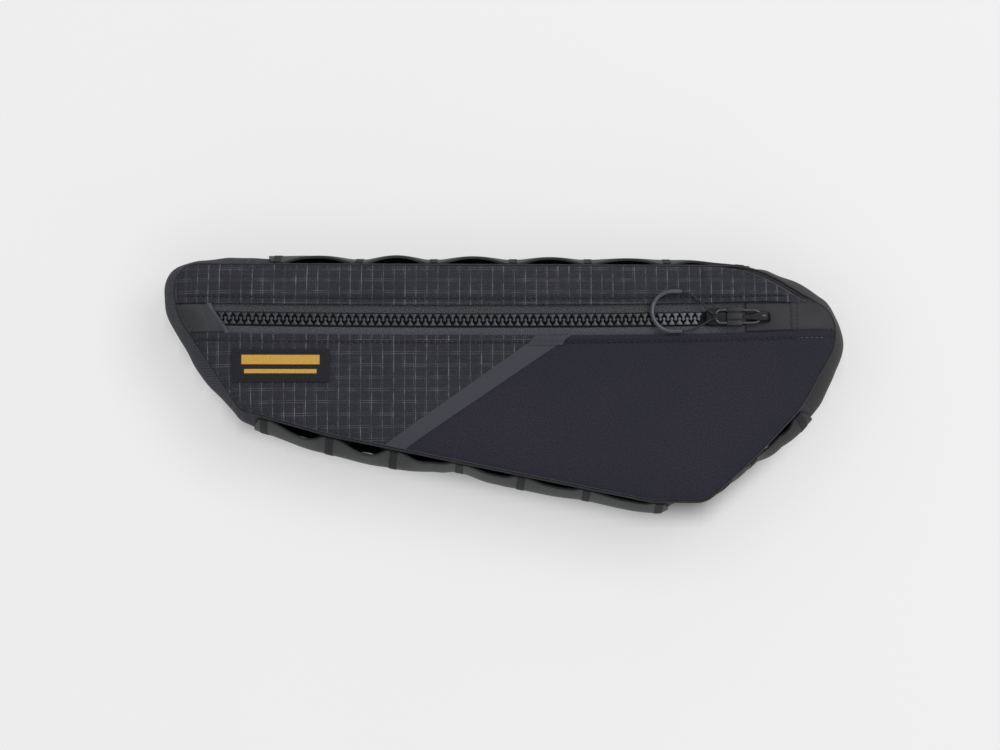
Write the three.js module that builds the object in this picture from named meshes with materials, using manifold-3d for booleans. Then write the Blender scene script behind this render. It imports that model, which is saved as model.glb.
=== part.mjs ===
import * as THREE from 'three';
import { mergeVertices } from 'three/addons/utils/BufferGeometryUtils.js';
import Module from 'manifold-3d';

// A half-frame bicycle bag lying on its back panel, in millimetres.
// +X runs from the tail of the bag to its nose, +Y from the lower edge to the zip, +Z up.
// Both sides share one outline, and the side wall between them bulges outwards.

// Overall sizes
const SEAM_LENGTH = 378;
const SEAM_HEIGHT = 137;
const BAG_DEPTH = 58;
const CLOTH = 1.4;
const GAP = 0.3;

// Panels roll over towards their seams
const BACK_RISE = 5;
const BACK_REACH = 17;
const FRONT_DROP = 5;
const FRONT_REACH = 24;

// Side wall
const GUSSET_BULGE = 10.5;
const BACK_INSET = 8;
const WALL_STEP = 9.5;

// Lashing strips, with their width and scallop as shares of the side wall's width
const STRIP_WIDTH_SHARE = 0.85;
const STRIP_SCALLOP_SHARE = 0.2;
const STRIP_THICKNESS = 1.4;
const TACK_LENGTH = 8;
const STRIP_END = 6;
const LOOP_SECTIONS = [0.13, 0.32, 0.5, 0.68, 0.87];
const LOOP_HEIGHT = 8;
const LOOP_FULLNESS = 0.8;

// Zip
const ZIP_HEIGHT_SHARE = 0.7575;
const ZIP_LIFT_LEFT = 1.9;
const ZIP_LIFT_RIGHT = 3.4;
const ZIP_LIFT_POWER = 2.5;
const ZIP_WINDOW = 17.4;
const TAPE_THICKNESS = 0.8;
const TAPE_TUCK = 4;
const GARAGE_RECESS = 0.4;
const GARAGE_SLANT = 0.447;
const TOOTH_PITCH = 4.39;
const TOOTH_REACH = 3.8;
const TOOTH_BASE = 2.9;
const TOOTH_HEAD = 1.3;
const TOOTH_CROSSING = 0.7;
const TOOTH_HEIGHT = 2.2;
const TOOTH_SPINE = 0.8;
const TOOTH_MARGIN = 0.2;
const TOOTH_WAIST_TAPER = 0.35;
const TOOTH_WAIST_SHARE = 0.42;

// Slider and pull
const SLIDER_LENGTH = 22.7;
const SLIDER_WIDTH = 9.8;
const SLIDER_TOP = 2;
const SLIDER_CHAMFER_SHARE = 0.22;
const BRIDGE_LENGTH = 8.6;
const BRIDGE_WIDTH = 4.8;
const BRIDGE_WALL = 1.3;
const BRIDGE_SETBACK = 5.6;
const BRIDGE_NOSE_SHARE = 0.62;
const LINK_LENGTH = 25.4;
const LINK_WIDTH = 8.8;
const LINK_NECK_WIDTH = 7;
const LINK_NECK_LENGTH = 5;
const LINK_WIRE = 1.5;
const LINK_BLOCK_LENGTH = 9;
const LINK_BLOCK_SIDE = 1;
const LINK_BLOCK_HEIGHT = 1.8;
const LINK_BLOCK_SETBACK = 10.1;
const LINK_CLEARANCE = 0.35;
const GRIP_RADIUS = 11.5;
const GRIP_TAIL = 5.5;
const GRIP_TUBE = 2.6;
const GRIP_SETBACK = 49.9;
const GRIP_OFFSET = 3.1;
const GRIP_LIFT = 2.1;
const CORD_DIAMETER = 1.2;
const CORD_CLEARANCE = 0.45;
const CORD_HITCH = 1.3;
// Places of a strand between the grip and the link, as shares along, across and up
const CORD_ROUTE = [[0, 0, 0], [0.23, 0.08, 0], [0.43, 0.26, 0.05], [0.62, 0.49, 0.5], [0.78, 0.73, 0.9],
  [0.92, 0.92, 1], [1, 1, 1]];

// Label
const LABEL_LENGTH = 55.7;
const LABEL_HEIGHT = 18.9;
const LABEL_THICKNESS = 0.6;
const LABEL_X_SHARE = 0.161;
const LABEL_Y_SHARE = 0.565;

// Outline corners, clockwise from the upper tail corner.
// x is a share of the seam length, y and round are shares of the seam height.
const CORNERS = [
  { x: 0.0, y: 1.0, round: 0.14 },
  { x: 0.878, y: 0.99, round: 0.42 },
  { x: 0.993, y: 0.8, round: 0.14 },
  { x: 1.0, y: 0.67, round: 0.22 },
  { x: 0.945, y: 0.4, round: 0.5 },
  { x: 0.877, y: 0.2, round: 0.15 },
  { x: 0.8, y: 0.005, round: 0.1 },
  { x: 0.72, y: 0.006, round: 0.4 },
  { x: 0.235, y: 0.282, round: 1.2 },
  { x: 0.1, y: 0.388, round: 0.035 },
  { x: -0.003, y: 0.81, round: 0.28 },
];

// How far the side wall bulges at places along the outline, as a share of the largest bulge,
// and how far its lower rim is drawn in, as a share of the largest inset
const WALL_ROWS = [
  { x: 0.0, y: 0.86, bulge: 0.76 },
  { x: 0.0, y: 0.96, bulge: 0.84 },
  { x: 0.024, y: 1.0, bulge: 0.6 },
  { x: 0.08, y: 1.0, bulge: 0.78 },
  { x: 0.152, y: 1.0, bulge: 0.74 },
  { x: 0.277, y: 1.0, bulge: 0.55 },
  { x: 0.745, y: 1.0, bulge: 0.6 },
  { x: 0.856, y: 1.0, bulge: 0.3 },
  { x: 0.9, y: 0.96, bulge: 0.62 },
  { x: 0.947, y: 0.9, bulge: 0.9 },
  { x: 0.975, y: 0.84, bulge: 0.78 },
  { x: 0.996, y: 0.78, bulge: 0.55 },
  { x: 1.0, y: 0.68, bulge: 0.72 },
  { x: 0.96, y: 0.48, bulge: 0.88 },
  { x: 0.934, y: 0.38, bulge: 0.74 },
  { x: 0.873, y: 0.175, bulge: 0.16, inset: 0.3 },
  { x: 0.832, y: 0.07, bulge: 0.08, inset: 0.4 },
  { x: 0.8, y: 0.0, bulge: 0.03, inset: 0.85 },
  { x: 0.765, y: 0.0, bulge: 0.05, inset: 0.75 },
  { x: 0.731, y: 0.0, bulge: 0.38, inset: 0.3 },
  { x: 0.623, y: 0.06, bulge: 0.42, inset: 0.3 },
  { x: 0.525, y: 0.12, bulge: 0.54, inset: 0.3 },
  { x: 0.431, y: 0.17, bulge: 0.31, inset: 0.3 },
  { x: 0.333, y: 0.23, bulge: 0.82, inset: 0.3 },
  { x: 0.236, y: 0.28, bulge: 0.78, inset: 0.3 },
  { x: 0.137, y: 0.36, bulge: 0.57, inset: 0.2 },
  { x: 0.1, y: 0.39, bulge: 0.35 },
  { x: 0.05, y: 0.6, bulge: 0.75 },
  { x: 0.02, y: 0.75, bulge: 0.62 },
];

// Lashing strips: tacks lie on the outline nearest to each place, in clockwise order.
// Each loop gives the bulge of the wall under its middle, as a share of the largest bulge,
// and the way through below it, as a share of the loops' height.
const CHAINS = {
  strap_chain_top: {
    tacks: [[0.152, 1], [0.277, 1], [0.39, 1], [0.511, 1], [0.625, 1], [0.745, 1], [0.856, 1]],
    loops: [[0.171, 0.725], [0.19, 0.75], [0.171, 0.725], [0.143, 0.725], [0.086, 0.712], [-0.143, 0.7]],
  },
  strap_chain_front: {
    tacks: [[0.934, 0.38], [0.873, 0.175], [0.832, 0.07]],
    loops: [[-0.219, 1.025], [0.038, 0.15]],
  },
  strap_chain_bottom: {
    tacks: [[0.731, 0], [0.623, 0.06], [0.525, 0.12], [0.431, 0.17], [0.333, 0.23], [0.236, 0.28],
      [0.137, 0.36]],
    loops: [[-0.324, 0.975], [-0.238, 0.937], [-0.162, 0.9], [-0.162, 0.9], [0, 0.85], [0, 0.862]],
  },
};

// Seams between the three strips of the side wall
const SEAM_TAIL = [-0.003, 0.885];
const SEAM_TOP = [0.873, 0.99];
const SEAM_NOSE = [0.946, 0.43];

// Seams of the front: shares of the seam length where the slanted band meets its neighbours
const BAND_HEAD_LEFT = 0.552;
const BAND_HEAD_RIGHT = 0.6;
const BAND_FOOT_LEFT = 0.3185;
const BAND_FOOT_RIGHT = 0.348;
const UPPER_TAIL_CORNER = [0.02, 0.97];
const UPPER_NOSE_CORNER = [0.95, 0.88];
const LOWER_TAIL_CORNER = [0.1, 0.387];
const LOWER_NOSE_CORNER = [0.803, 0];
const GARAGE_TAIL_SHARE = 0.065;
const GARAGE_NOSE_SHARE = 0.8627;
const SLIDER_PLAY = 0.6;

// Colours from the real cloth, plastic and rubber
const FINISHES = {
  ripstop: { color: 0x3a3c42, roughness: 0.8, metalness: 0 },
  plain: { color: 0x2c2c38, roughness: 0.85, metalness: 0 },
  band: { color: 0x464650, roughness: 0.75, metalness: 0 },
  coated: { color: 0x3c4342, roughness: 0.6, metalness: 0 },
  tape: { color: 0x3e4042, roughness: 0.9, metalness: 0 },
  teeth: { color: 0x2b2c2e, roughness: 0.45, metalness: 0 },
  slider: { color: 0x202124, roughness: 0.35, metalness: 0.4 },
  grip: { color: 0x303132, roughness: 0.55, metalness: 0 },
  cord: { color: 0x1c1c1f, roughness: 0.9, metalness: 0 },
  label: { color: 0x121214, roughness: 0.85, metalness: 0 },
};

const wasm = await Module();
wasm.setup();

const { PI, abs, sin, cos, tan, min, max, hypot, atan2, ceil, floor, sign, round } = Math;

// How finely the outline is drawn and followed
const ARC_STEP = PI / 20;
const CORNER_ROOM = 0.49;
const NORMAL_REACH = 3;
const CROSSING_STEPS = 400;
const MARK_ROOM = 1;
const SPINE_STEP = 6;
const LINK_STEPS = 38;
const GRIP_STEPS = 22;

const mix = (a, b, share) => a + (b - a) * share;
const place = ([x, y]) => [(x - 0.5) * SEAM_LENGTH, (y - 0.5) * SEAM_HEIGHT];
const alongX = (share) => (share - 0.5) * SEAM_LENGTH;

// The seam outline: straight sides joined by arcs, as points with their lengths along it
function roundedOutline(rows) {
  const apart = (a, b) => hypot(b[0] - a[0], b[1] - a[1]);
  const corners = rows.map((row) => ({ at: place([row.x, row.y]), radius: row.round * SEAM_HEIGHT }));
  const points = [];
  corners.forEach(({ at, radius }, index) => {
    const before = corners[(index + corners.length - 1) % corners.length].at;
    const after = corners[(index + 1) % corners.length].at;
    const inward = atan2(at[1] - before[1], at[0] - before[0]);
    const onward = atan2(after[1] - at[1], after[0] - at[0]);
    const turn = atan2(sin(onward - inward), cos(onward - inward));
    const room = CORNER_ROOM * min(apart(before, at), apart(at, after));
    const cut = min(radius * tan(abs(turn) / 2), room);
    const bend = cut / tan(abs(turn) / 2);
    const steps = max(2, ceil(abs(turn) / ARC_STEP));
    const side = sign(turn);
    const start = [at[0] - cut * cos(inward), at[1] - cut * sin(inward)];
    const centre = [start[0] - side * bend * sin(inward), start[1] + side * bend * cos(inward)];
    for (let step = 0; step <= steps; step++) {
      const angle = inward + turn * step / steps;
      points.push([centre[0] + side * bend * sin(angle), centre[1] - side * bend * cos(angle)]);
    }
  });
  const lengths = [0];
  points.forEach((point, index) => {
    const next = points[(index + 1) % points.length];
    lengths.push(lengths[index] + apart(point, next));
  });
  return { points, lengths, total: lengths[points.length] };
}

const outline = roundedOutline(CORNERS);

function outlinePoint(distance) {
  const { points, lengths, total } = outline;
  const along = ((distance % total) + total) % total;
  let low = 0;
  let high = points.length;
  while (high - low > 1) {
    const middle = (low + high) >> 1;
    if (lengths[middle] <= along) low = middle;
    else high = middle;
  }
  const share = (along - lengths[low]) / (lengths[low + 1] - lengths[low]);
  const next = points[(low + 1) % points.length];
  return [mix(points[low][0], next[0], share), mix(points[low][1], next[1], share)];
}

// Outward direction, averaged over a short stretch so that it turns smoothly
function outlineNormal(distance) {
  const a = outlinePoint(distance - NORMAL_REACH);
  const b = outlinePoint(distance + NORMAL_REACH);
  const size = hypot(b[0] - a[0], b[1] - a[1]);
  return [-(b[1] - a[1]) / size, (b[0] - a[0]) / size];
}

// Closest place of the outline to a point, as [distance along the outline, distance to it]
function nearest(x, y) {
  const { points, lengths } = outline;
  let best = [0, Infinity];
  for (let index = 0; index < points.length; index++) {
    const a = points[index];
    const b = points[(index + 1) % points.length];
    const side = [b[0] - a[0], b[1] - a[1]];
    const square = side[0] ** 2 + side[1] ** 2;
    if (square === 0) continue;
    const share = min(1, max(0, ((x - a[0]) * side[0] + (y - a[1]) * side[1]) / square));
    const away = hypot(x - a[0] - side[0] * share, y - a[1] - side[1] * share);
    if (away < best[1]) best = [mix(lengths[index], lengths[index + 1], share), away];
  }
  return best;
}

const seamAt = (share) => nearest(...place(share))[0];

// Where the outline crosses a level line (axis 1) or an upright line (axis 0) between two seams
function crossing(axis, value, from, to) {
  const span = stretch(from, to);
  for (let step = 0; step < CROSSING_STEPS; step++) {
    const a = outlinePoint(from + span * step / CROSSING_STEPS)[axis];
    const b = outlinePoint(from + span * (step + 1) / CROSSING_STEPS)[axis];
    if ((a - value) * (b - value) <= 0) {
      return from + span * (step + (value - a) / (b - a)) / CROSSING_STEPS;
    }
  }
  return from + span / 2;
}

// Clockwise length from one place of the outline to another
function stretch(from, to) {
  return (((to - from) % outline.total) + outline.total) % outline.total;
}

// The side wall's own bulge and the inset of its lower rim, between the rows of the table
const wallRows = WALL_ROWS.map(({ x, y, bulge, inset = 0 }) => (
  { at: seamAt([x, y]), values: [bulge * GUSSET_BULGE, inset * BACK_INSET] }
)).sort((a, b) => a.at - b.at);

function wallRow(distance) {
  const along = stretch(0, distance);
  const after = max(0, wallRows.findIndex(({ at }) => at > along));
  const next = wallRows[after];
  const last = wallRows[(after + wallRows.length - 1) % wallRows.length];
  const share = (1 - cos(PI * stretch(last.at, along) / stretch(last.at, next.at))) / 2;
  return last.values.map((value, index) => mix(value, next.values[index], share));
}

// Surfaces of the two sides
function frontZ(x, y) {
  const inside = nearest(x, y)[1];
  return BAG_DEPTH - FRONT_DROP * max(0, 1 - inside / FRONT_REACH) ** 3;
}

function backZ(x, y) {
  const [at, away] = nearest(x, y);
  const inside = max(0, away - wallRow(at)[1]);
  return BACK_RISE * max(0, 1 - inside / BACK_REACH) ** 2;
}

// Solids between two matching grids of points
function slab(outer, inner) {
  const rows = outer.length;
  const columns = outer[0].length;
  const half = rows * columns;
  const at = (row, column) => row * columns + column;
  const faces = [];
  const quad = (a, b, c, d) => faces.push(a, b, c, a, c, d);
  const rim = [];
  for (let row = 0; row < rows - 1; row++) rim.push(at(row, 0));
  for (let column = 0; column < columns - 1; column++) rim.push(at(rows - 1, column));
  for (let row = rows - 1; row > 0; row--) rim.push(at(row, columns - 1));
  for (let column = columns - 1; column > 0; column--) rim.push(at(0, column));
  for (let row = 0; row < rows - 1; row++) {
    for (let column = 0; column < columns - 1; column++) {
      const [a, b] = [at(row, column), at(row + 1, column)];
      quad(a, b, b + 1, a + 1);
      quad(a + half, a + 1 + half, b + 1 + half, b + half);
    }
  }
  rim.forEach((a, index) => {
    const b = rim[(index + 1) % rim.length];
    quad(b, a, a + half, b + half);
  });
  return facingOut([...outer.flat(), ...inner.flat()], faces);
}

// Turns the faces over where they enclose a negative volume
function facingOut(points, faces) {
  let volume = 0;
  const corner = [new THREE.Vector3(), new THREE.Vector3(), new THREE.Vector3()];
  for (let face = 0; face < faces.length; face += 3) {
    corner.forEach((vector, index) => vector.set(...points[faces[face + index]]));
    volume += corner[0].dot(corner[1].cross(corner[2])) / 6;
  }
  if (volume < 0) faces.reverse();
  const geometry = new THREE.BufferGeometry();
  geometry.setAttribute('position', new THREE.Float32BufferAttribute(points.flat(), 3));
  geometry.setIndex(faces);
  return geometry;
}

const shares = (count) => Array.from({ length: count + 1 }, (_, index) => index / count);

// A patch between four edges, each a function from 0 to 1 that gives [x, y]
function coons({ bottom, top, left, right }, u, v) {
  const [b, t, l, r] = [bottom(u), top(u), left(v), right(v)];
  const [b0, b1, t0, t1] = [bottom(0), bottom(1), top(0), top(1)];
  return [0, 1].map((axis) => mix(b[axis], t[axis], v) + mix(l[axis], r[axis], u)
    - mix(mix(b0[axis], b1[axis], u), mix(t0[axis], t1[axis], u), v));
}

// Cloth over a patch: outer face on a surface, inner face one wall below it
function panel(edges, uShares, vShares, surface, wall) {
  const grid = (drop) => uShares.map((u) => vShares.map((v) => {
    const [x, y] = coons(edges, u, v);
    return [x, y, surface(x, y) - drop];
  }));
  return slab(grid(0), grid(wall));
}

const arc = (from, to) => {
  const span = stretch(from, to);
  return (share) => outlinePoint(from + span * share);
};
const reversed = (edge) => (share) => edge(1 - share);
const line = (a, b) => (share) => [mix(a[0], b[0], share), mix(a[1], b[1], share)];

// The zip's middle line rises a little towards both ends
const ZIP_Y = (ZIP_HEIGHT_SHARE - 0.5) * SEAM_HEIGHT;
const fold = ZIP_WINDOW / 2;

function zipAt(x, offset) {
  const share = x / (SEAM_LENGTH / 2);
  return ZIP_Y + (share < 0 ? ZIP_LIFT_LEFT : ZIP_LIFT_RIGHT) * abs(share) ** ZIP_LIFT_POWER + offset;
}

const onZip = (x, offset) => [x, zipAt(x, offset)];

// An edge from a to b that keeps to a level line of the zip, drawn in to meet both ends
const alongZip = (offset, a, b) => (share) => {
  const x = mix(a[0], b[0], share);
  return [x, zipAt(x, offset) + mix(a[1] - zipAt(a[0], offset), b[1] - zipAt(b[0], offset), share)];
};

// Outline places that the front panels use
const seams = {
  tail: seamAt(SEAM_TAIL),
  top: seamAt(SEAM_TOP),
  nose: seamAt(SEAM_NOSE),
  upperTail: seamAt(UPPER_TAIL_CORNER),
  upperNose: seamAt(UPPER_NOSE_CORNER),
  lowerTail: seamAt(LOWER_TAIL_CORNER),
  lowerNose: seamAt(LOWER_NOSE_CORNER),
};

// Where a level line of the zip meets the outline, at the tail and at the nose
function tailCrossing(offset) {
  return crossing(1, ZIP_Y + ZIP_LIFT_LEFT + offset, seams.lowerTail, seams.upperTail);
}

function noseCrossing(offset) {
  return crossing(1, ZIP_Y + ZIP_LIFT_RIGHT + offset, seams.upperNose, seams.lowerNose);
}

function frontPanelUpper() {
  const tail = tailCrossing(fold);
  const nose = noseCrossing(fold);
  const edges = {
    bottom: alongZip(fold, outlinePoint(tail), outlinePoint(nose)),
    top: arc(seams.upperTail, seams.upperNose),
    left: arc(tail, seams.upperTail),
    right: reversed(arc(seams.upperNose, nose)),
  };
  return panel(edges, shares(20), [0, 0.3, 0.6, 0.85, 1], frontZ, CLOTH);
}

// A seam of the slanted band: its foot on the outline and its head on the zip's lower fold
function bandSeam(headShare, footShare, offset) {
  const foot = crossing(0, alongX(footShare) + offset, seams.lowerNose, seams.lowerTail);
  const head = alongX(headShare);
  return { foot, edge: line(outlinePoint(foot), [head + offset, zipAt(head, -fold)]) };
}

function frontPanelLower() {
  const tail = tailCrossing(-fold);
  const { foot, edge } = bandSeam(BAND_HEAD_LEFT, BAND_FOOT_LEFT, -GAP);
  const edges = {
    bottom: reversed(arc(foot, seams.lowerTail)),
    top: alongZip(-fold, outlinePoint(tail), edge(1)),
    left: arc(seams.lowerTail, tail),
    right: edge,
  };
  return panel(edges, shares(12), [0, 0.08, 0.2, 0.4, 0.6, 0.8, 1], frontZ, CLOTH);
}

function accentBand() {
  const left = bandSeam(BAND_HEAD_LEFT, BAND_FOOT_LEFT, 0).edge;
  const right = bandSeam(BAND_HEAD_RIGHT, BAND_FOOT_RIGHT, 0).edge;
  const edges = { bottom: line(left(0), right(0)), top: line(left(1), right(1)), left, right };
  return panel(edges, shares(2), [0, 0.06, 0.15, 0.3, 0.6, 1], frontZ, CLOTH);
}

function frontPanelPlain() {
  const nose = noseCrossing(-fold);
  const { foot, edge } = bandSeam(BAND_HEAD_RIGHT, BAND_FOOT_RIGHT, GAP);
  const edges = {
    bottom: reversed(arc(seams.lowerNose, foot)),
    top: alongZip(-fold, edge(1), outlinePoint(nose)),
    left: edge,
    right: reversed(arc(nose, seams.lowerNose)),
  };
  return panel(edges, shares(13), [0, 0.08, 0.2, 0.4, 0.6, 0.8, 1], frontZ, CLOTH);
}

// Smooth patches at the zip's ends fill the window between the folds, a little lower
const garageTop = (x, y) => frontZ(x, y) - GARAGE_RECESS * min(1, nearest(x, y)[1] / (2 * CLOTH));
const garageNose = alongX(GARAGE_NOSE_SHARE);
const slantedX = (offset) => alongX(GARAGE_TAIL_SHARE) - GARAGE_SLANT * offset;

function garageLeft() {
  const inset = fold - GAP;
  const low = tailCrossing(-inset);
  const high = tailCrossing(inset);
  const ends = [onZip(slantedX(-inset), -inset), onZip(slantedX(inset), inset)];
  const edges = {
    bottom: line(outlinePoint(low), ends[0]),
    top: line(outlinePoint(high), ends[1]),
    left: arc(low, high),
    right: line(...ends),
  };
  return panel(edges, [0, 0.25, 0.55, 1], [0, 0.5, 1], garageTop, CLOTH);
}

function garageRight() {
  const inset = fold - GAP;
  const low = noseCrossing(-inset);
  const high = noseCrossing(inset);
  const ends = [onZip(garageNose, -inset), onZip(garageNose, inset)];
  const edges = {
    bottom: alongZip(-inset, ends[0], outlinePoint(low)),
    top: alongZip(inset, ends[1], outlinePoint(high)),
    left: line(...ends),
    right: reversed(arc(high, low)),
  };
  return panel(edges, [0, 0.35, 0.65, 0.85, 1], [0, 0.5, 1], garageTop, CLOTH);
}

// Zip tapes lie below the panels' folds and the patches
const TAPE_DROP = GARAGE_RECESS + CLOTH + GAP;
const tapeTop = (x, y) => frontZ(x, y) - TAPE_DROP;
const sliderTail = garageNose - GAP - SLIDER_LENGTH;

function zipTape(side) {
  const near = side * GAP;
  const far = side * (fold + TAPE_TUCK);
  const end = garageNose + TAPE_TUCK;
  const nearEnds = [onZip(slantedX(near) - TAPE_TUCK, near), onZip(end, near)];
  const farEnds = [onZip(slantedX(far) - TAPE_TUCK, far), onZip(end, far)];
  const edges = {
    bottom: alongZip(near, ...nearEnds),
    top: alongZip(far, ...farEnds),
    left: line(nearEnds[0], farEnds[0]),
    right: line(nearEnds[1], farEnds[1]),
  };
  return panel(edges, shares(22), shares(1), tapeTop, TAPE_THICKNESS);
}

// One row of teeth: a comb along the tape, bent to the zip's line, with points along its back so
// that this bends too. The rows stand half a pitch apart and start clear of the slanted edge.
function zipTeeth(side) {
  const outerEdge = TOOTH_REACH + TOOTH_SPINE;
  const margin = TOOTH_BASE / 2 + TOOTH_MARGIN;
  const clearOf = (offset) => slantedX(offset) + GAP + margin;
  const phase = side < 0 ? TOOTH_PITCH / 2 : 0;
  const first = clearOf(-TOOTH_CROSSING) + phase;
  const needed = clearOf(side < 0 ? -outerEdge : -TOOTH_CROSSING);
  const start = first + TOOTH_PITCH * ceil(max(0, (needed - first) / TOOTH_PITCH));
  const count = 1 + floor((sliderTail - SLIDER_PLAY - margin - start) / TOOTH_PITCH);
  const waist = mix(TOOTH_BASE, TOOTH_HEAD, TOOTH_WAIST_TAPER);
  const waistHeight = TOOTH_REACH * TOOTH_WAIST_SHARE;
  const shape = new THREE.Shape();
  shape.moveTo(start - margin, outerEdge);
  shape.lineTo(start - margin, TOOTH_REACH);
  for (let index = 0; index < count; index++) {
    const middle = start + index * TOOTH_PITCH;
    shape.lineTo(middle - TOOTH_BASE / 2, TOOTH_REACH);
    shape.lineTo(middle - waist / 2, waistHeight);
    shape.lineTo(middle - TOOTH_HEAD / 2, -TOOTH_CROSSING);
    shape.lineTo(middle + TOOTH_HEAD / 2, -TOOTH_CROSSING);
    shape.lineTo(middle + waist / 2, waistHeight);
    shape.lineTo(middle + TOOTH_BASE / 2, TOOTH_REACH);
  }
  const last = start + (count - 1) * TOOTH_PITCH + margin;
  shape.lineTo(last, TOOTH_REACH);
  shape.lineTo(last, outerEdge);
  for (let index = count - SPINE_STEP; index > 0; index -= SPINE_STEP) {
    shape.lineTo(start + index * TOOTH_PITCH, outerEdge);
  }
  const comb = new THREE.ExtrudeGeometry(shape, { depth: TOOTH_HEIGHT, bevelEnabled: false });
  const geometry = welded(comb);
  const position = geometry.getAttribute('position');
  for (let index = 0; index < position.count; index++) {
    const x = position.getX(index);
    position.setY(index, zipAt(x, side * position.getY(index)));
    position.setZ(index, BAG_DEPTH - TAPE_DROP + GAP + position.getZ(index));
  }
  if (side < 0) geometry.index.array.reverse();
  return geometry;
}

// Shared vertices merged, with only the positions kept
function welded(geometry) {
  const copy = geometry.clone();
  copy.deleteAttribute('normal');
  copy.deleteAttribute('uv');
  return mergeVertices(copy, 1e-4);
}

function solidOf(geometry) {
  const merged = welded(geometry);
  return new wasm.Manifold(new wasm.Mesh({
    numProp: 3,
    vertProperties: new Float32Array(merged.getAttribute('position').array),
    triVerts: new Uint32Array(merged.index.array),
  }));
}

function geometryOf(solid) {
  const mesh = solid.getMesh();
  const geometry = new THREE.BufferGeometry();
  geometry.setAttribute('position', new THREE.Float32BufferAttribute(mesh.vertProperties, 3));
  geometry.setIndex(Array.from(mesh.triVerts));
  return geometry;
}

function box(low, high) {
  const size = high.map((value, axis) => value - low[axis]);
  const geometry = new THREE.BoxGeometry(...size);
  return geometry.translate(...low.map((value, axis) => value + size[axis] / 2));
}

// The slider: a body over the tape and a bridge that carries the pull
const sliderNose = sliderTail + SLIDER_LENGTH;
const eye = new THREE.Vector3(
  sliderNose + BRIDGE_SETBACK + BRIDGE_WALL + LINK_WIRE / 2 + LINK_CLEARANCE,
  zipAt(sliderNose, 0),
  BAG_DEPTH + SLIDER_TOP + GAP + LINK_WIRE / 2,
);

function zipSlider() {
  const [middle, floorZ] = [eye.y, BAG_DEPTH - TAPE_DROP + GAP];
  const chamfer = SLIDER_WIDTH * SLIDER_CHAMFER_SHARE;
  const plan = new THREE.Shape();
  plan.moveTo(sliderTail, -SLIDER_WIDTH / 2 + chamfer / 2);
  plan.lineTo(sliderTail + chamfer, -SLIDER_WIDTH / 2);
  plan.lineTo(sliderNose - chamfer, -SLIDER_WIDTH / 2);
  plan.lineTo(sliderNose, -SLIDER_WIDTH / 2 + chamfer);
  plan.lineTo(sliderNose, SLIDER_WIDTH / 2 - chamfer);
  plan.lineTo(sliderNose - chamfer, SLIDER_WIDTH / 2);
  plan.lineTo(sliderTail + chamfer, SLIDER_WIDTH / 2);
  plan.lineTo(sliderTail, SLIDER_WIDTH / 2 - chamfer / 2);
  const height = BAG_DEPTH + SLIDER_TOP - floorZ;
  const body = new THREE.ExtrudeGeometry(plan, { depth: height, bevelEnabled: false });
  body.translate(0, middle, floorZ);

  const low = BAG_DEPTH - GARAGE_RECESS + GAP;
  const crown = eye.z + LINK_WIRE / 2 + LINK_CLEARANCE + BRIDGE_WALL;
  const start = sliderNose + BRIDGE_SETBACK;
  const end = start + BRIDGE_LENGTH;
  const side = new THREE.Shape();
  side.moveTo(sliderNose - chamfer, low);
  side.lineTo(end, low);
  side.lineTo(end, mix(low, crown, BRIDGE_NOSE_SHARE));
  side.lineTo(end - BRIDGE_WALL, crown);
  side.lineTo(start + BRIDGE_WALL, crown);
  side.lineTo(start, crown - BRIDGE_WALL);
  side.lineTo(start, BAG_DEPTH + SLIDER_TOP);
  side.lineTo(sliderNose - chamfer, BAG_DEPTH + SLIDER_TOP);
  const hole = new THREE.Path();
  hole.absarc(eye.x, eye.z, LINK_WIRE / 2 + LINK_CLEARANCE, 0, 2 * PI, true);
  side.holes.push(hole);
  const options = { depth: BRIDGE_WIDTH, bevelEnabled: false, curveSegments: 6 };
  const bridge = new THREE.ExtrudeGeometry(side, options);
  bridge.rotateX(PI / 2);
  bridge.translate(0, middle + BRIDGE_WIDTH / 2, 0);
  return geometryOf(solidOf(body).add(solidOf(bridge)));
}

// The pull's link: a closed wire that narrows to the bridge, with a cross block
function pullLink() {
  const tail = eye.x - LINK_LENGTH;
  const half = LINK_WIDTH / 2 - LINK_WIRE / 2;
  const neck = LINK_NECK_WIDTH / 2;
  const upper = [
    [eye.x, neck - LINK_WIRE / 2],
    [eye.x - LINK_WIRE / 2, neck],
    [eye.x - LINK_NECK_LENGTH, neck],
    [eye.x - LINK_NECK_LENGTH - 2 * LINK_WIRE, half],
    [tail + 2 * LINK_WIRE, half],
    [tail + LINK_WIRE / 2, half - LINK_WIRE / 2],
    [tail, half - 2 * LINK_WIRE],
  ];
  const lower = upper.map(([x, y]) => [x, -y]).reverse();
  const route = [...upper, ...lower].map(([x, y]) => new THREE.Vector3(x, eye.y + y, eye.z));
  const curve = new THREE.CatmullRomCurve3(route, true, 'centripetal');
  const wire = new THREE.TubeGeometry(curve, LINK_STEPS, LINK_WIRE / 2, 6, true);
  const blockEnd = eye.x - LINK_BLOCK_SETBACK;
  const halfBlock = LINK_WIDTH / 2 + LINK_BLOCK_SIDE;
  const block = box(
    [blockEnd - LINK_BLOCK_LENGTH, eye.y - halfBlock, eye.z - LINK_BLOCK_HEIGHT / 2 + GAP],
    [blockEnd, eye.y + halfBlock, eye.z + LINK_BLOCK_HEIGHT / 2 + GAP],
  );
  return geometryOf(solidOf(wire).add(solidOf(block)));
}

// A round tube with flat ends along a curve
function tubeAlong(curve, diameter, sides, steps) {
  const section = new THREE.Shape();
  section.absarc(0, 0, diameter / 2, 0, 2 * PI, false);
  return new THREE.ExtrudeGeometry(section, { steps, extrudePath: curve, curveSegments: sides / 2 });
}

// The grip: a half ring of tube with two short straight ends
const gripCentre = new THREE.Vector3(eye.x - GRIP_SETBACK, eye.y + GRIP_OFFSET, BAG_DEPTH + GRIP_LIFT);

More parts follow.
